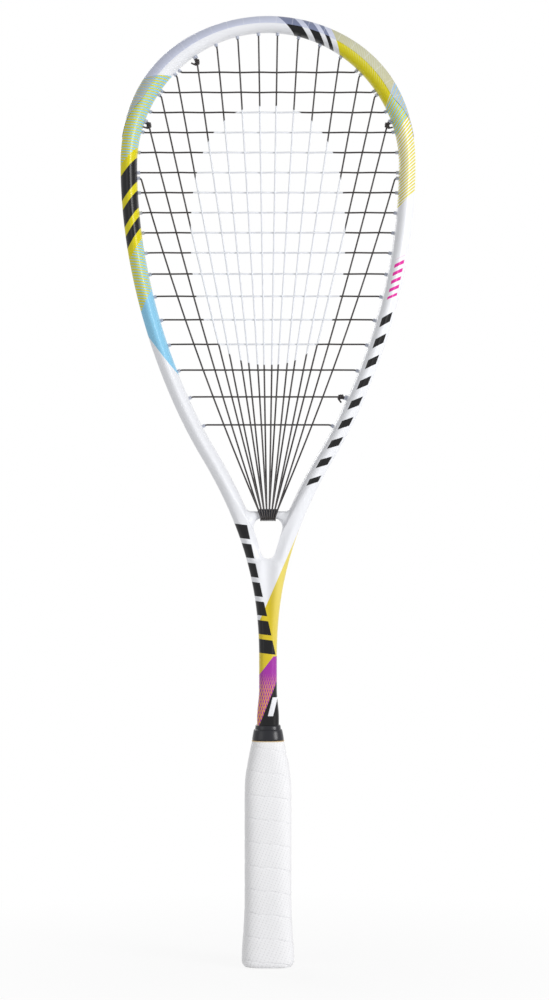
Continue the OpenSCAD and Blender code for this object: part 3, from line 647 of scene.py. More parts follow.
def squared_oval(turn, half_wide, half_tall, power):
    """A point of an oval that is squarer the lower the power is: 1 is an ellipse."""
    c, s = math.cos(turn), math.sin(turn)
    return Vector((half_wide * math.copysign(abs(c) ** power, c),
                   half_tall * math.copysign(abs(s) ** power, s)))


top_edge = bridge_edge(bridge_top, top_round, -math.pi / 2)
foot_edge = bridge_edge(bridge_foot, foot_round, math.pi / 2)
flare_from, flare_to = top_edge[flare_step].x, (top_edge[-1].x + foot_edge[-1].x) / 2
half_bridge = []
for top, foot in zip(top_edge, foot_edge):
    middle, up = (top + foot) / 2, (top - foot) / 2
    flared = max(0, (middle.x - flare_from) / (flare_to - flare_from))
    deep = bridge_depth / 2 + bridge_flare * flared ** flare_power
    power = mix(bar_squareness, end_squareness, ease(flared))
    ring = []
    for turn in around(bridge_sides):
        y, raised = squared_oval(turn, deep, 1, power)
        p = middle + up * raised
        ring.append(Vector((p.x, y, p.y)))
    half_bridge.append(ring)
left_bridge = [[Vector((-p.x, p.y, p.z)) for p in ring] for ring in reversed(half_bridge[1:])]


def closed_sweep(bm, rings, marks=()):
    for end in sweep(bm, rings, marks):
        bm.faces.new(end)


bm = bmesh.new()
bridge_marks = [(layer, lambda i, j: plain_run) for layer in new_layers(bm, "run", "share")]
closed_sweep(bm, left_bridge + half_bridge, bridge_marks)
bridge_piece = make_piece(bm, "throat_bridge_bar", 60)
dress(bridge_piece, lacquer, "frame_lacquer", "throat_bridge")

# Bridge pad: a black rubber saddle hung over the bridge, with a groove for each string loop.
# It is moulded to shape and held by the strings, which draw together towards its foot.
string_r = 0.625
loops, loop_pitch, loop_draw = 8, 2.05, 0.7
pad_skin, pad_rise, pad_margin = 0.8, 1.6, 0.15
pad_bore_gap, pad_round, face_round = 0.05, 1.3, 0.6
pad_squareness = 0.5
rib_height, groove_half = 0.35, 0.85
pad_sides, pad_steps = 64, 120
pad_top, pad_foot = bridge_top + pad_rise, bridge_foot - pad_skin
pad_drawn_z = bridge_foot + 0.5


def loop_x(p):
    """Where a loop lies across the top of the pad, counted from 1 at the left."""
    return (p - (loops + 1) / 2) * loop_pitch


def drawn_in(z):
    """How far the loops have drawn together at a height on the pad."""
    return mix(loop_draw, 1, clamp((z - pad_drawn_z) / (pad_top - pad_drawn_z)))


pad_half = loop_x(loops) + string_r + pad_margin


def pad_oval(x, top, foot, deep, power):
    ring = []
    for turn in around(pad_sides):
        y, up = squared_oval(turn, deep, (top - foot) / 2, power)
        z = (top + foot) / 2 + up
        ring.append(Vector((x * drawn_in(z), y, z)))
    return ring


def pad_skin_ring(x):
    """The outside of the pad: ribs between the grooves, and rounded ends."""
    nearest = min(abs(x - loop_x(p)) for p in range(1, loops + 1))
    past = max(0, abs(x) - pad_half + pad_round) / pad_round
    rounding = pad_round * (1 - math.sqrt(max(0, 1 - past * past)))
    lift = rib_height * min(1, (nearest / groove_half) ** 2) - face_round * rounding
    deep = bridge_depth / 2 + pad_skin + lift
    return pad_oval(x, pad_top - rounding, pad_foot - lift, deep, pad_squareness)


def pad_bore_ring(x):
    top, foot = bridge_top + pad_bore_gap, bridge_foot - pad_bore_gap
    return pad_oval(x, top, foot, bridge_depth / 2 + pad_bore_gap, bar_squareness)


bm = bmesh.new()
pad_places = spread(-pad_half, pad_half, pad_steps)
pad_rings = [pad_skin_ring(x) for x in pad_places] + [pad_bore_ring(x) for x in reversed(pad_places)]
sweep(bm, pad_rings + pad_rings[:1])
bmesh.ops.remove_doubles(bm, verts=bm.verts, dist=1e-7)
pad_piece = make_piece(bm, "bridge_pad_moulded", 60)


def mottled(name, low, high, specular=0.5, metallic=0.0, tone="Blotch", **grain_values):
    """A grained material whose colour wavers between two tones."""
    material, tree, shader = new_material(name, Specular_IOR_Level=specular, Metallic=metallic)
    grain = grained(tree, shader, **grain_values)[1]
    link(paint_over(low, high, grain[tone]), shader.inputs["Base Color"])
    return material


pad_rubber = mottled(
    "pad_rubber", colour(74, 79, 92), colour(96, 101, 115), specular=0.3,
    scale=1600.0, roughness=0.62, waver=0.2, bump_mm=0.03, strength=0.6)
dress(pad_piece, pad_rubber, "black_rubber", "bridge_pad")

# Bumper guard: a thin frosted nylon shell over the outer half of the beam round the crown,
# moulded in one with the grommet barrels that line the string holes. It snaps into the channel.
barrel_out, mouth_run = 2.0, 0.6
mouth_depth = barrel_out + mouth_run
barrel_r, bore_r = 1.4, 0.9
tie_barrel_r, tie_bore_r = 2.0, 1.5
barrel_sides, mouth_draft = 20, 0.93
main_arcs = (7, 22.5, 39, 56.5, 76, 95, 117, 158.7)
mains, crosses, even_crosses = 2 * loops, 17, 10
first_cross_drop, cross_pitch, cross_growth = 40.1, 14.5, 0.82
tie_mains, start_main, tie_cross = (2, mains - 1), 5, crosses - 1
stagger, tie_stagger = 0.6, 0.85
main_stations = [-station_at(a) for a in reversed(main_arcs)] + [station_at(a) for a in main_arcs]


def cross_z(c):
    """The height of a cross string, counted from 1 at the crown. The lower ones lie further apart."""
    late = max(0, c - even_crosses)
    grown = cross_growth * late * (late + 1) / 2
    return crown_z - first_cross_drop - (c - 1) * cross_pitch - grown


def cross_station(c):
    return halved(0.2, 2, lambda s: place(s, -mouth_depth, 0).z > cross_z(c))


cross_stations = [cross_station(c) for c in range(1, crosses + 1)]


def main_hole(k):
    """A main's hole: its station, its place across the channel, and whether a knot is tied there."""
    tie = k == start_main or k in tie_mains
    y = 0.0 if k == start_main else -tie_stagger if tie else -stagger
    return main_stations[k - 1], y, tie


def cross_hole(c, side):
    tie = c == tie_cross and side > 0
    return side * cross_stations[c - 1], 0.0 if tie else stagger, tie


def strip_level(s):
    return beam(s) - channel_d + strip_seat + strip_t


holes = [main_hole(k) for k in range(1, mains + 1)]
holes += [cross_hole(c, side) for c in range(1, crosses + 1) for side in (-1, 1)]


def add_barrel(bm, tube, hole):
    """A barrel from the strip on the channel's floor to its mouth inside the hoop."""
    station, y, tie = hole
    outer, bore = (tie_barrel_r, tie_bore_r) if tie else (barrel_r, bore_r)
    mouth = place(station, -barrel_out, y)
    root = place(station, strip_level(abs(station)) - strip_t / 2, y)
    turn = (root - mouth).to_track_quat("Z", "Y").to_matrix().to_4x4()
    made = bmesh.ops.create_circle(bm, cap_ends=True, radius=outer * MM, segments=barrel_sides,
                                   matrix=Matrix.Translation(mouth * MM) @ turn)
    disc = list({f for v in made["verts"] for f in v.link_faces})
    rim = bmesh.ops.inset_region(bm, faces=disc, thickness=(outer - bore) * MM,
                                 use_boundary=True, use_even_offset=True)["faces"]
    bmesh.ops.delete(bm, geom=disc, context="FACES_ONLY")
    grown = bmesh.ops.extrude_face_region(bm, geom=rim)["geom"]
    moved = [v for v in grown if isinstance(v, bmesh.types.BMVert)]
    bmesh.ops.translate(bm, verts=moved, vec=(root - mouth) * MM)
    lip = {v for f in rim for v in f.verts}
    bmesh.ops.scale(bm, verts=list(lip), vec=(mouth_draft,) * 3, space=Matrix.Translation(-mouth * MM))
    for vert in lip.union(moved):
        vert[tube] = 1.0


def part_of(points, start):
    """The stretch of a line of points from a place on it to its end, with as many points."""
    cut = []
    for at in spread(start, len(points) - 1, len(points) - 1):
        i = min(int(at), len(points) - 2)
        cut.append(points[i].lerp(points[i + 1], at - i))
    return cut


shell_lift, shell_draft, lip_round, wall_growth = 0.3, 0.2, 0.25, 1.6
face_points = slice(curve_steps[0] + 1, sum(curve_steps[:4]) + 1)


def bumper_section(s):
    """The shell's section, out over the beam's face, down into the channel and back inside."""
    w, level, wall = beam(s), strip_level(s), channel_w / 2 - 2 * strip_seat
    face = hoop_section(s)[face_points][::-1]
    face = part_of(face, (1 - shell_share(s)) * (len(face) - 2))
    shares = spread(1, 0, len(face) - 1)
    outer = [toward_core(p, w, -shell_lift * t) for p, t in zip(face, shares)]
    outer += [Vector((w, wall)), Vector((w - lip_round, wall - strip_t)),
              Vector((level, wall - strip_t - shell_draft))]
    inner = [toward_core(p, w, strip_t * min(1, wall_growth * (1 - t))) for p, t in zip(face, shares)]
    inner += [Vector((w - strip_t, wall)), Vector((level, wall)),
              Vector((level - strip_t, wall - shell_draft))]
    return flipped(outer) + outer[::-1] + inner + flipped(inner[::-1])


runs_of = {s: run[1] for s, run in zip(covered_stations, frame_runs)}
bumper_stations = [-s for s in reversed(covered_stations)] + covered_stations[1:]
bumper_sections = [bumper_section(abs(s)) for s in bumper_stations]
bumper_rings = [[place(s, p.x, p.y) for p in loop] for s, loop in zip(bumper_stations, bumper_sections)]
bm = bmesh.new()
run_layer, share_layer, tube_layer = new_layers(bm, "run", "share", "tube")
shell_ends = sweep(bm, bumper_rings, [
    (run_layer, lambda i, j: runs_of[abs(bumper_stations[i])]),
    (share_layer, lambda i, j: bumper_sections[i][j].x / beam(abs(bumper_stations[i])))])
for end in shell_ends:
    n = len(end)
    for i in range(n // 2 - 1):
        bm.faces.new((end[i], end[i + 1], end[n - 2 - i], end[n - 1 - i]))
for hole in holes:
    if abs(hole[0]) < bumper_end:
        add_barrel(bm, tube_layer, hole)
bumper_piece = make_piece(bm, "bumper_shell", 45)

# The shell is milky: half of the frame's paint shows through it. The barrels let light through.
milk_share, tick_share, barrel_clear = 0.5, 0.25, 0.43
tick_pitch, tick_fill = 11.6, 0.05
nylon, tree, shader = new_material("frosted_nylon", Specular_IOR_Level=0.4)
position, grain = grained(
    tree, shader, scale=700.0, roughness=0.4, waver=0.15, bump_mm=0.02, strength=0.5)
tube = mark(tree, "tube")
ticks = join_group(tree, pinstripes, {
    "Run": mark(tree, "run"), "Share": 0.0, "Pitch": tick_pitch, "Fill": tick_fill, "Slant": 0.0})["Mask"]
milk = paint_over(colour(158, 170, 212), colour(168, 178, 217), grain["Blotch"])
shell = paint_over(painted(tree, position, grain), milk, milk_share)
shell = paint_over(shell, colour(240, 242, 248), calc("MULTIPLY", ticks, tick_share))
link(paint_over(shell, colour(206, 211, 226), tube), shader.inputs["Base Color"])
link(calc("MULTIPLY_ADD", tube, -barrel_clear, 1.0), shader.inputs["Alpha"])
dress(bumper_piece, nylon, "clear_nylon", "bumper_guard")

# Grommet strips: one nylon strip down each side, lying on the floor of the string channel, with a
# barrel for each hole below the bumper. They are held by their barrels and by the strings.
strip_stations = spread(bumper_end + shell_gap, channel_end, 80)
strip_wall, strip_round = channel_w / 2 - channel_draft - 2 * strip_seat, 0.3
half_strip = ((0, strip_wall - strip_round), (strip_round, strip_wall), (strip_t, strip_wall))
strip_section = [(below, -y) for below, y in half_strip] + list(half_strip[::-1])
for side, strip_name in ((-1, "left"), (1, "right")):
    bm = bmesh.new()
    [tube_layer] = new_layers(bm, "tube")
    closed_sweep(bm, [[place(side * s, strip_level(s) - below, y) for below, y in strip_section]
                      for s in strip_stations])
    for hole in holes:
        if hole[0] * side > bumper_end:
            add_barrel(bm, tube_layer, hole)
    strip_piece = make_piece(bm, "grommet_strip_" + strip_name + "_nylon", 35)
    dress(strip_piece, nylon, "clear_nylon", "grommet_strip_" + strip_name)

# Main string: one length of coated multifilament, strung up and down through the crown and fanned
# to the bridge, where each pair loops under the grooved pad. Its two ends are tied off with knots.
weave = 0.8
tie_lane = string_r + 0.06
channel_lane, channel_gap, channel_step = 1.15, 0.2, 4.0
fan_bow, bow_power = 4.2, 2.6
crossing_margin, woven_steps, tail_steps = 5.0, 4, 4
string_gap, loop_corner, loop_steps = 0.1, 2.0, 5
corner_cut, leg_share = 0.9, 0.4
loop_y = bridge_depth / 2 + pad_skin + string_gap + string_r
loop_foot = pad_foot - string_gap - string_r


def hole_top(station, lane):
    """A point of a string where it lies on the strip over a hole."""
    return place(station, strip_level(abs(station)) + channel_gap + string_r, lane)


def channel_run(a, b, lane_a, lane, lane_b):
    """A string's run in the channel from hole to hole."""
    steps = max(2, math.ceil((place(b, 0, 0) - place(a, 0, 0)).length / channel_step))
    between = [hole_top(s, lane) for s in spread(a, b, steps)[1:-1]]
    return [hole_top(a, lane_a)] + between + [hole_top(b, lane_b)]


def softened(path, cut):
    """Rounds the corners of a path by cutting each one twice."""
    for reach in (cut, cut / 3):
        eased = [path[0]]
        for a, b, c in zip(path, path[1:], path[2:]):
            for leg in (a - b, c - b):
                eased.append(b + leg.normalized() * min(reach, leg.length * leg_share))
        path = eased + [path[-1]]
    return path


def main_lane(k):
    """Where a main lies across its hole: to one side of it where a knot's end shares it."""
    station, y, tie = main_hole(k)
    return y - tie_lane if tie else y


def main_top(k):
    return place(main_stations[k - 1], -mouth_depth, main_lane(k))


def main_x(k, z):
    """Where a main runs at a height: fanned from its barrel to its loop, and bowed outwards a little."""
    top = main_top(k)
    t = (top.z - z) / (top.z - pad_top)
    off_middle = (k - (mains + 1) / 2) / (loops - 0.5)
    bow = math.copysign(fan_bow * abs(off_middle) ** bow_power, off_middle)
    return mix(top.x, loop_x(math.ceil(k / 2)), t) + bow * 4 * t * (1 - t)


def crossed(k, c):
    return cross_z(c) < main_top(k).z - crossing_margin


def weave_y(k, c):
    return -weave if (k + c) % 2 == 0 else weave


def crossing(k, c, sense):
    return Vector((main_x(k, cross_z(c)), sense * weave_y(k, c), cross_z(c)))


def woven(points):
    """Eases a string over and under from crossing to crossing."""
    path = [points[0]]
    for a, b in zip(points, points[1:]):
        for t in spread(0, 1, woven_steps)[1:]:
            p = mix(a, b, t)
            path.append(Vector((p.x, mix(a.y, b.y, ease(t)), p.z)))
    return path


def main_run(k):
    """One run of the string, from its barrel down through the weave to the top of the pad."""
    points = [main_top(k)] + [crossing(k, c, 1) for c in range(1, crosses + 1) if crossed(k, c)]
    last_y, side_y = points[-1].y, loop_y if k % 2 == 0 else -loop_y
    tail = []
    for t in spread(0, 1, tail_steps)[1:]:
        z = mix(cross_z(crosses), pad_top, t)
        tail.append(Vector((main_x(k, z), mix(last_y, side_y, ease(t)), z)))
    return woven(points) + tail


def bridge_loop(p):
    """The loop under the pad, from its front to its back."""
    front = []
    for a in spread(0, math.pi / 2, loop_steps):
        y = -loop_y + loop_corner * (1 - math.cos(a))
        front.append((y, loop_foot + loop_corner * (1 - math.sin(a))))
    back = [(-y, z) for y, z in reversed(front)]
    return [Vector((loop_x(p) * loop_draw, y, z)) for y, z in front + back]


knot_steps, knot_turns, knot_pitch = 12, 3.25, 1.25
knot_gap, knot_swell, swell_rate = 0.1, 0.22, 0.6
tail_out, tail_back, tail_hang = -0.3, -0.6, 2.0
tail_reaches = (1.6, 3.6)


def tied_end(mouth, run, sense):
    """A string end wound round the string that it is tied to, drawn tight, with its short tail."""
    at, along = run[0], (run[2] - run[0]).normalized()
    out = Vector((0, sense, 0))
    out = (out - out.dot(along) * along).normalized()
    hang = Vector((0, 0, -1)) + along.z * along
    aside = Vector((math.copysign(1, mouth.x), 0, 0))
    tail = aside + tail_out * out + tail_back * along + tail_hang * hang
    side = along.cross(out)
    side *= math.copysign(1, side.dot(tail))
    coil = [mouth]
    for i in range(int(knot_turns * knot_steps) + 1):
        a = 2 * math.pi * i / knot_steps
        radius = 2 * string_r + knot_gap + knot_swell * math.sin(a * swell_rate)
        wound = radius * (math.cos(a) * out + math.sin(a) * side)
        coil.append(at + along * (knot_pitch * i / knot_steps) + wound)
    return coil + [coil[-1] + tail.normalized() * reach for reach in tail_reaches]


def string_curve(name, path, material, slot, node):
    curve = bpy.data.curves.new(name, "CURVE")
    curve.dimensions = "3D"
    curve.bevel_depth = string_r * MM
    curve.bevel_resolution = 3
    curve.use_fill_caps = True
    spline = curve.splines.new("POLY")
    spline.points.add(len(path) - 1)
    for point, p in zip(spline.points, path):
        point.co = (*(p * MM), 1)
    dress(add_object(name, curve), material, slot, node)


# A white oval is sprayed on the middle of the bed, over both strings.
oval_z, oval_w, oval_h, oval_power, oval_crispness = 0.528, 0.056, 0.094, 2.4, 60.0
string_coat, tree, shader = new_material("string_coat", Specular_IOR_Level=0.5)
position, grain = grained(
    tree, shader, scale=2600.0, roughness=0.36, waver=0.1, bump_mm=0.03, strength=0.5)
axes = add_node(tree, "SeparateXYZ", {"Vector": position}).outputs
off_z = calc("ABSOLUTE", calc("SUBTRACT", axes["Z"], oval_z))
wide_share = calc("DIVIDE", calc("ABSOLUTE", axes["X"]), oval_w)
tall_share = calc("DIVIDE", off_z, oval_h)
off_oval = calc("ADD", *(calc("POWER", far, oval_power) for far in (wide_share, tall_share)))
in_oval = calc("MULTIPLY", calc("SUBTRACT", 1.0, off_oval), oval_crispness, clamp=True)
dark = paint_over(colour(34, 29, 29), colour(52, 46, 45), grain["Blotch"])
stencil = paint_over(colour(224, 227, 234), colour(236, 238, 243), grain["Height"])
link(paint_over(dark, stencil, in_oval), shader.inputs["Base Color"])

main_path = []
for p in range(1, loops + 1):
    a, b = 2 * p - 1, 2 * p
    main_path += main_run(a) + bridge_loop(p) + main_run(b)[::-1]
    if p < loops:
        here, there = main_stations[b - 1], main_stations[b]
        main_path += channel_run(here, there, main_lane(b), -channel_lane, main_lane(b + 1))
held_lane = tie_lane - tie_stagger
start, end = [], []
for part, outermost, beside in ((start, 1, 2), (end, mains, mains - 1)):
    from_hole, to_hole = main_stations[outermost - 1], main_stations[beside - 1]
    part += channel_run(from_hole, to_hole, main_lane(outermost), -channel_lane, held_lane)
    part += tied_end(place(to_hole, -mouth_depth, held_lane), main_run(beside), 1)
main_path = softened(start[::-1] + main_path + end, corner_cut)
string_curve("main_string_coated", main_path, string_coat, "string_nylon", "main_string")

# Cross string: a second length of the same string, strung to and fro down the bed and woven over
# and under the mains. It starts and ends in knots at wider barrels.


def cross_lane(c, side):
    station, y, tie = cross_hole(c, side)
    return y + tie_lane if tie else y


def cross_row(c):
    left, right = (place(side * cross_stations[c - 1], -mouth_depth, cross_lane(c, side)) for side in (-1, 1))
    return woven([left] + [crossing(k, c, -1) for k in range(1, mains + 1) if crossed(k, c)] + [right])


from_main, first_hole = main_stations[start_main - 1], -cross_stations[0]
start = tied_end(place(from_main, -mouth_depth, tie_lane), main_run(start_main), 1)
cross_path = start[::-1] + channel_run(from_main, first_hole, tie_lane, channel_lane, cross_lane(1, -1))
for c in range(1, crosses + 1):
    side = 1 if c % 2 else -1
    cross_path += cross_row(c)[::side]
    here, there, lane = side * cross_stations[c - 1], cross_stations[tie_cross - 1], -tie_lane
    if c < crosses:
        there, lane = side * cross_stations[c], cross_lane(c + 1, side)
    cross_path += channel_run(here, there, cross_lane(c, side), channel_lane, lane)
held = cross_row(tie_cross)[::-1]
cross_path += tied_end(place(cross_stations[tie_cross - 1], -mouth_depth, -tie_lane), held, -1)
cross_path = softened(cross_path, corner_cut)
string_curve("cross_string_coated", cross_path, string_coat, "string_nylon", "cross_string")

# Handle pallets: two halves of moulded hard foam that close round the tang and give the handle its
# bevelled shape. The grip tape covers them.


def coat_node(node, material):
    """Gives a CAD node that keeps its own shape the material of the real piece."""
    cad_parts[node].data.materials.clear()
    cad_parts[node].data.materials.append(material)


foam = mottled(
    "pallet_foam", colour(188, 164, 124), colour(206, 184, 146), specular=0.2,
    scale=1200.0, roughness=0.8, waver=0.1, bump_mm=0.08, strength=0.7)
for pallet in ("handle_pallet_front", "handle_pallet_back"):
    coat_node(pallet, foam)

# Butt cap: a moulded plastic cap that flares the end of the handle and closes it with a rounded rim.
# Two wire staples, front and back, fix it to the pallets under the tape.
grip_w, grip_d, grip_len = 33.8, 29.0, 163.0
grip_top_w, grip_top_d, taper_len = 23.0, 22.0, 32.0
grip_squareness, top_squareness = 3.4, 2.6
knee_at, knee_share = 0.32, 0.2
butt_flare, bulge_z, flare_h = 2.1, 11.0, 42.0
half_flare_h, blend_reach = 11.5, 5.0
handle_sides = 96


def flare_at(z):
    rows = ((0, 1), (bulge_z, 1), (bulge_z + half_flare_h, 0.5), (flare_h, 0), (grip_len, 0))
    for (a, p), (b, q) in zip(rows, rows[1:]):
        if z <= b:
            return butt_flare * mix(p, q, (z - a) / (b - a))
    return 0.0


def taper_at(z):
    """How far the handle has drawn in towards its top: slowly up to a knee, then faster."""
    t = max(0.0, (z - grip_len + taper_len) / taper_len)
    return knee_share * t / knee_at if t < knee_at else mix(knee_share, 1, (t - knee_at) / (1 - knee_at))


def handle_half(z, full, top):
    """Half the handle's width or depth at a height, evened out over the heights round it."""
    reach = max(0.0, min(blend_reach, grip_len - z))
    window = [max(0.0, z + reach * d) for d in (-1, -0.5, 0, 0.5, 1)]
    sizes = [mix(full, top, taper_at(h)) / 2 + flare_at(h) for h in window]
    return sum(sizes) / len(sizes)


def handle_point(turn, z, inset):
    half_wide, half_deep = handle_half(z, grip_w, grip_top_w), handle_half(z, grip_d, grip_top_d)
    power = 2 / mix(grip_squareness, top_squareness, taper_at(z))
    return Vector((*squared_oval(turn, half_wide - inset, half_deep - inset, power), z))


def handle_ring(z, inset):
    return [handle_point(turn, z, inset) for turn in around(handle_sides)]


cap_profile = ((0.0, 4.4), (0.15, 3.5), (0.5, 2.6), (0.9, 2.1),
               (1.2, 2.3), (2.0, 2.0), (6.0, 1.7), (20.0, 1.7))
sole_rim, sole_step, sole_recess = 2.4, 0.5, 0.5
bm = bmesh.new()
sole = sweep(bm, [handle_ring(z, inset) for z, inset in cap_profile])[0]
sole_face = bm.faces.new(sole)
for thickness in (sole_rim, sole_step):
    bmesh.ops.inset_region(bm, faces=[sole_face], thickness=thickness * MM)
bmesh.ops.translate(bm, verts=sole_face.verts[:], vec=(0, 0, sole_recess * MM))
cap_piece = make_piece(bm, "butt_cap_moulding", 35)
cap_plastic = mottled(
    "cap_plastic", colour(232, 232, 234), colour(240, 240, 241), specular=0.4,
    scale=1500.0, roughness=0.5, waver=0.15, bump_mm=0.03, strength=0.5)
dress(cap_piece, cap_plastic, "cap_plastic", "butt_cap")

steel = mottled(
    "staple_steel", colour(172, 173, 176), colour(200, 201, 204), tone="Height", metallic=1.0,
    scale=3000.0, roughness=0.32, waver=0.15, bump_mm=0.01, strength=0.5)
coat_node("butt_cap_staples", steel)

# Grip tape: one strip of padded synthetic leather, embossed with rows of fine dimples, stuck on and
# wound up the handle from the butt. Each turn laps over the edge of the turn below.
tape_foot, tape_head, tape_pitch = 0.5, 162.7, 17.0
turn_steps, girth_z, least_width = 96, 80.0, 0.5
butt_round, butt_round_h, butt_round_power = 2.6, 5.0, 2.6
tape_profile = [(-0.35, 1.5), (-0.35, 0.3), (-0.1, 0.1), (0.5, 0.02)]
tape_profile += [(up, 0.0) for up in spread(1.3, 13.3, 15)]
tape_profile += [(14.6, 0.06), (16.0, 0.22), (16.9, 0.45), (17.3, 0.8), (17.3, 1.5)]
tape_turns = (tape_head - tape_foot + tape_pitch) / tape_pitch


def butt_rounding(z):
    return butt_round * max(0.0, 1 - z / butt_round_h) ** butt_round_power


girth = [0.0]
for n in range(turn_steps):
    a, b = (handle_point(2 * math.pi * i / turn_steps, girth_z, 0) for i in (n, n + 1))
    girth.append(girth[-1] + (b - a).length)
tape_rings, tape_marks = [], []
for n in range(math.ceil(tape_turns * turn_steps) + 1):
    low = tape_foot - tape_pitch + tape_pitch * n / turn_steps
    ring, marks = [], []
    for up, inset in tape_profile:
        z = max(tape_foot, min(tape_head, low + up))
        ring.append(handle_point(-2 * math.pi * n / turn_steps, z, inset + butt_rounding(z)))
        marks.append((n // turn_steps * girth[-1] + girth[n % turn_steps], z - low))
    if ring[-1].z - ring[0].z > least_width:
        tape_rings.append(ring)
        tape_marks.append(marks)
bm = bmesh.new()
wound_layer, level_layer = new_layers(bm, "wound", "level")
closed_sweep(bm, tape_rings, [(wound_layer, lambda i, j: tape_marks[i][j][0]),
                              (level_layer, lambda i, j: tape_marks[i][j][1])])
bmesh.ops.dissolve_degenerate(bm, dist=1e-6, edges=bm.edges)
tape_piece = make_piece(bm, "grip_tape_wound", 50)

# The dimples stand in columns and rows that cross the strip at a slant. Each direction is given as
# columns or rows to the millimetre, along the strip and up it.
dimple_across, dimple_up, dimple_r, dimple_mm = 2.4, 1.95, 0.62, 0.3
column_ways, row_ways = (-0.396, -0.157), (-0.118, 0.503)
grain_in_height, dimple_strength, dimple_painted_shade = 0.25, 0.45, 0.45
grip_skin, tree, shader = new_material("grip_skin", Specular_IOR_Level=0.25, Sheen_Weight=0.15)
position = add_node(tree, "TexCoord").outputs["Object"]
grain = join_group(tree, fine_grain, {
    "Position": position, "Scale": 900.0, "Roughness": 0.7, "Spread": 0.15})
along, up = mark(tree, "wound"), mark(tree, "level")
squares = []
for (per_along, per_up), pitch in ((column_ways, dimple_across), (row_ways, dimple_up)):
    count = calc("MULTIPLY_ADD", up, per_up, calc("MULTIPLY", along, per_along))
    off_centre = calc("SUBTRACT", calc("FRACT", count), 0.5)
    squares.append(calc("POWER", calc("MULTIPLY", off_centre, pitch), 2.0))
reach = calc("SQRT", calc("ADD", *squares))
dimple = calc("SUBTRACT", 1.0, calc("DIVIDE", reach, dimple_r), clamp=True)
fine_height = calc("MULTIPLY", grain["Height"], grain_in_height)
bump = add_node(tree, "Bump", {
    "Height": calc("SUBTRACT", fine_height, dimple),
    "Distance": dimple_mm * MM, "Strength": dimple_strength})
link(bump.outputs["Normal"], shader.inputs["Normal"])
link(grain["Roughness"], shader.inputs["Roughness"])
leather = paint_over(colour(240, 240, 242), colour(246, 246, 248), grain["Blotch"])
# Painted shade: the dimples are also darkened in colour, as if shade lay in their hollows.
leather = paint_over(leather, colour(194, 194, 198), calc("MULTIPLY", dimple, dimple_painted_shade))
link(leather, shader.inputs["Base Color"])
dress(tape_piece, grip_skin, "grip_skin", "grip_tape")

# Finishing tape: a narrow tan tape wound once round the top end of the grip tape. Only its lower
# edge shows below the collar.
tan_profile = ((162.3, 0.6), (162.3, -0.02), (162.4, -0.12), (162.85, -0.12), (162.95, 0.0), (162.95, 2.0))
bm = bmesh.new()
closed_sweep(bm, [handle_ring(z, inset) for z, inset in tan_profile])
tan_piece = make_piece(bm, "finishing_tape_edge", 50)
tan_tape = mottled(
    "tan_tape", colour(206, 180, 138), colour(222, 200, 164), specular=0.3,
    scale=2000.0, roughness=0.6, waver=0.15, bump_mm=0.02, strength=0.5)
dress(tan_piece, tan_tape, "tan_tape", "finishing_tape")

# Collar: a black rubber ring with a narrower lip, stretched over the tang and rolled down against
# the top of the grip to hold the tape's end.
collar_profile = ((163.0, 10.4), (163.05, 11.15), (163.3, 11.4), (164.2, 11.4), (166.5, 11.05), (169.0, 10.6),
                  (170.2, 10.3), (170.75, 10.05), (170.9, 9.7), (171.0, 9.35), (171.5, 9.3), (172.9, 9.15),
                  (173.6, 9.0), (173.95, 8.7), (174.0, 8.2))
collar_sides, collar_flatter, collar_squareness = 72, 0.4, 0.86


def collar_ring(z, half):
    return [Vector((*squared_oval(turn, half, half - collar_flatter, collar_squareness), z))
            for turn in around(collar_sides)]


bm = bmesh.new()
closed_sweep(bm, [collar_ring(z, half) for z, half in collar_profile])
collar_piece = make_piece(bm, "grip_collar_rubber", 50)
collar_rubber = mottled(
    "collar_rubber", colour(8, 9, 15), colour(18, 20, 30), specular=0.4,
    scale=1100.0, roughness=0.3, waver=0.15, bump_mm=0.03, strength=0.3)
dress(collar_piece, collar_rubber, "black_rubber", "grip_collar")

# Stage: a plain white floor that runs out to a white surround, large soft lamps, and a camera level
# with the middle of the racket.
floor_half, floor_drop, floor_shade = 6.0, 0.0004, 0.12
fade_start, fade_run = 0.05, 0.33
bright, ambient_light = (1, 1, 1, 1), 0.45


def seen_directly(tree):
    """One for what the camera sees, also in a reflection or through a clear piece, and else none."""
    seen = add_node(tree, "LightPath").outputs
    direct = calc("MAXIMUM", seen["Is Camera Ray"], seen["Is Transmission Ray"])
    return calc("MAXIMUM", direct, seen["Is Glossy Ray"])


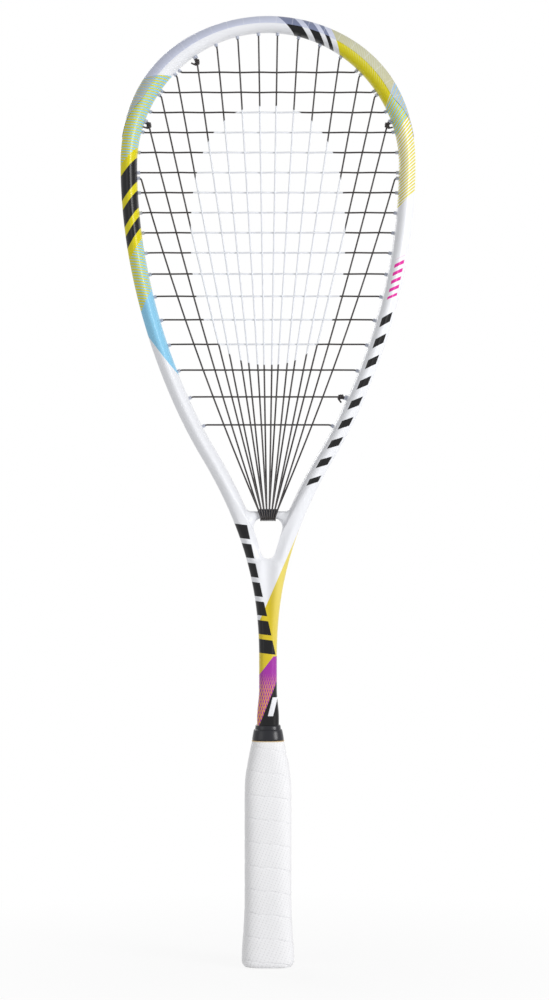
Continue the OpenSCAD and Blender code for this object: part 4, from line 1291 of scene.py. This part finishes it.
bm = bmesh.new()
bmesh.ops.create_grid(bm, x_segments=1, y_segments=1, size=floor_half)
bmesh.ops.translate(bm, verts=bm.verts, vec=(0, 0, -floor_drop))
floor = make_piece(bm, "floor")
paper = bpy.data.materials.new("white_paper")
paper.use_nodes = True
tree = paper.node_tree
tree.nodes.clear()
matt = add_node(tree, "BsdfDiffuse", {"Color": (0.85, 0.85, 0.85, 1)})
glow = add_node(tree, "Emission", {"Color": bright, "Strength": 1.0})
spot = add_node(tree, "TexCoord").outputs["Object"]
far = add_node(tree, "VectorMath", {0: spot}, operation="LENGTH").outputs["Value"]
far = calc("DIVIDE", calc("SUBTRACT", far, fade_start), fade_run, clamp=True)
glowing = calc("MULTIPLY_ADD", far, floor_shade, 1 - floor_shade)
shown = calc("MULTIPLY", seen_directly(tree), glowing)
blend = add_node(tree, "MixShader", {0: shown, 1: matt.outputs[0], 2: glow.outputs[0]})
add_node(tree, "OutputMaterial", {"Surface": blend.outputs[0]})
floor.data.materials.append(paper)

world = bpy.data.worlds.new("white_surround")
bpy.context.scene.world = world
world.use_nodes = True
tree = world.node_tree
tree.nodes.clear()
ambient = add_node(tree, "Background", {"Color": bright, "Strength": ambient_light})
backdrop = add_node(tree, "Background", {"Color": bright, "Strength": 1.0})
blend = add_node(tree, "MixShader", {
    0: seen_directly(tree), 1: ambient.outputs[0], 2: backdrop.outputs[0]})
add_node(tree, "OutputWorld", {"Surface": blend.outputs[0]})

lamps_aim = Vector((0, 0, 0.36))


def add_lamp(name, spot, size, watts):
    light = bpy.data.lights.new(name, "AREA")
    light.shape = "DISK"
    light.size = size
    light.energy = watts
    lamp = add_object(name, light)
    lamp.location = spot
    lamp.rotation_euler = (lamps_aim - Vector(spot)).to_track_quat("-Z", "Y").to_euler()


add_lamp("key_lamp", (1.8, -1.5, 0.75), size=1.1, watts=32)
add_lamp("fill_lamp", (-1.6, -1.6, 0.7), size=1.6, watts=5.5)
add_lamp("back_lamp", (-0.9, 1.9, 1.5), size=1.4, watts=14)

camera_distance, camera_x, camera_z, view_height = 2.0, 0.0047, 0.3366, 0.7233
camera_data = bpy.data.cameras.new("camera")
camera_data.sensor_fit = "VERTICAL"
camera_data.sensor_height = 24.0
camera_data.lens = camera_data.sensor_height * camera_distance / view_height
camera = add_object("camera", camera_data)
camera.location = (camera_x, -camera_distance, camera_z)
camera.rotation_euler = (math.pi / 2, 0, 0)
bpy.context.scene.camera = camera
bpy.context.scene.view_settings.view_transform = "Standard"
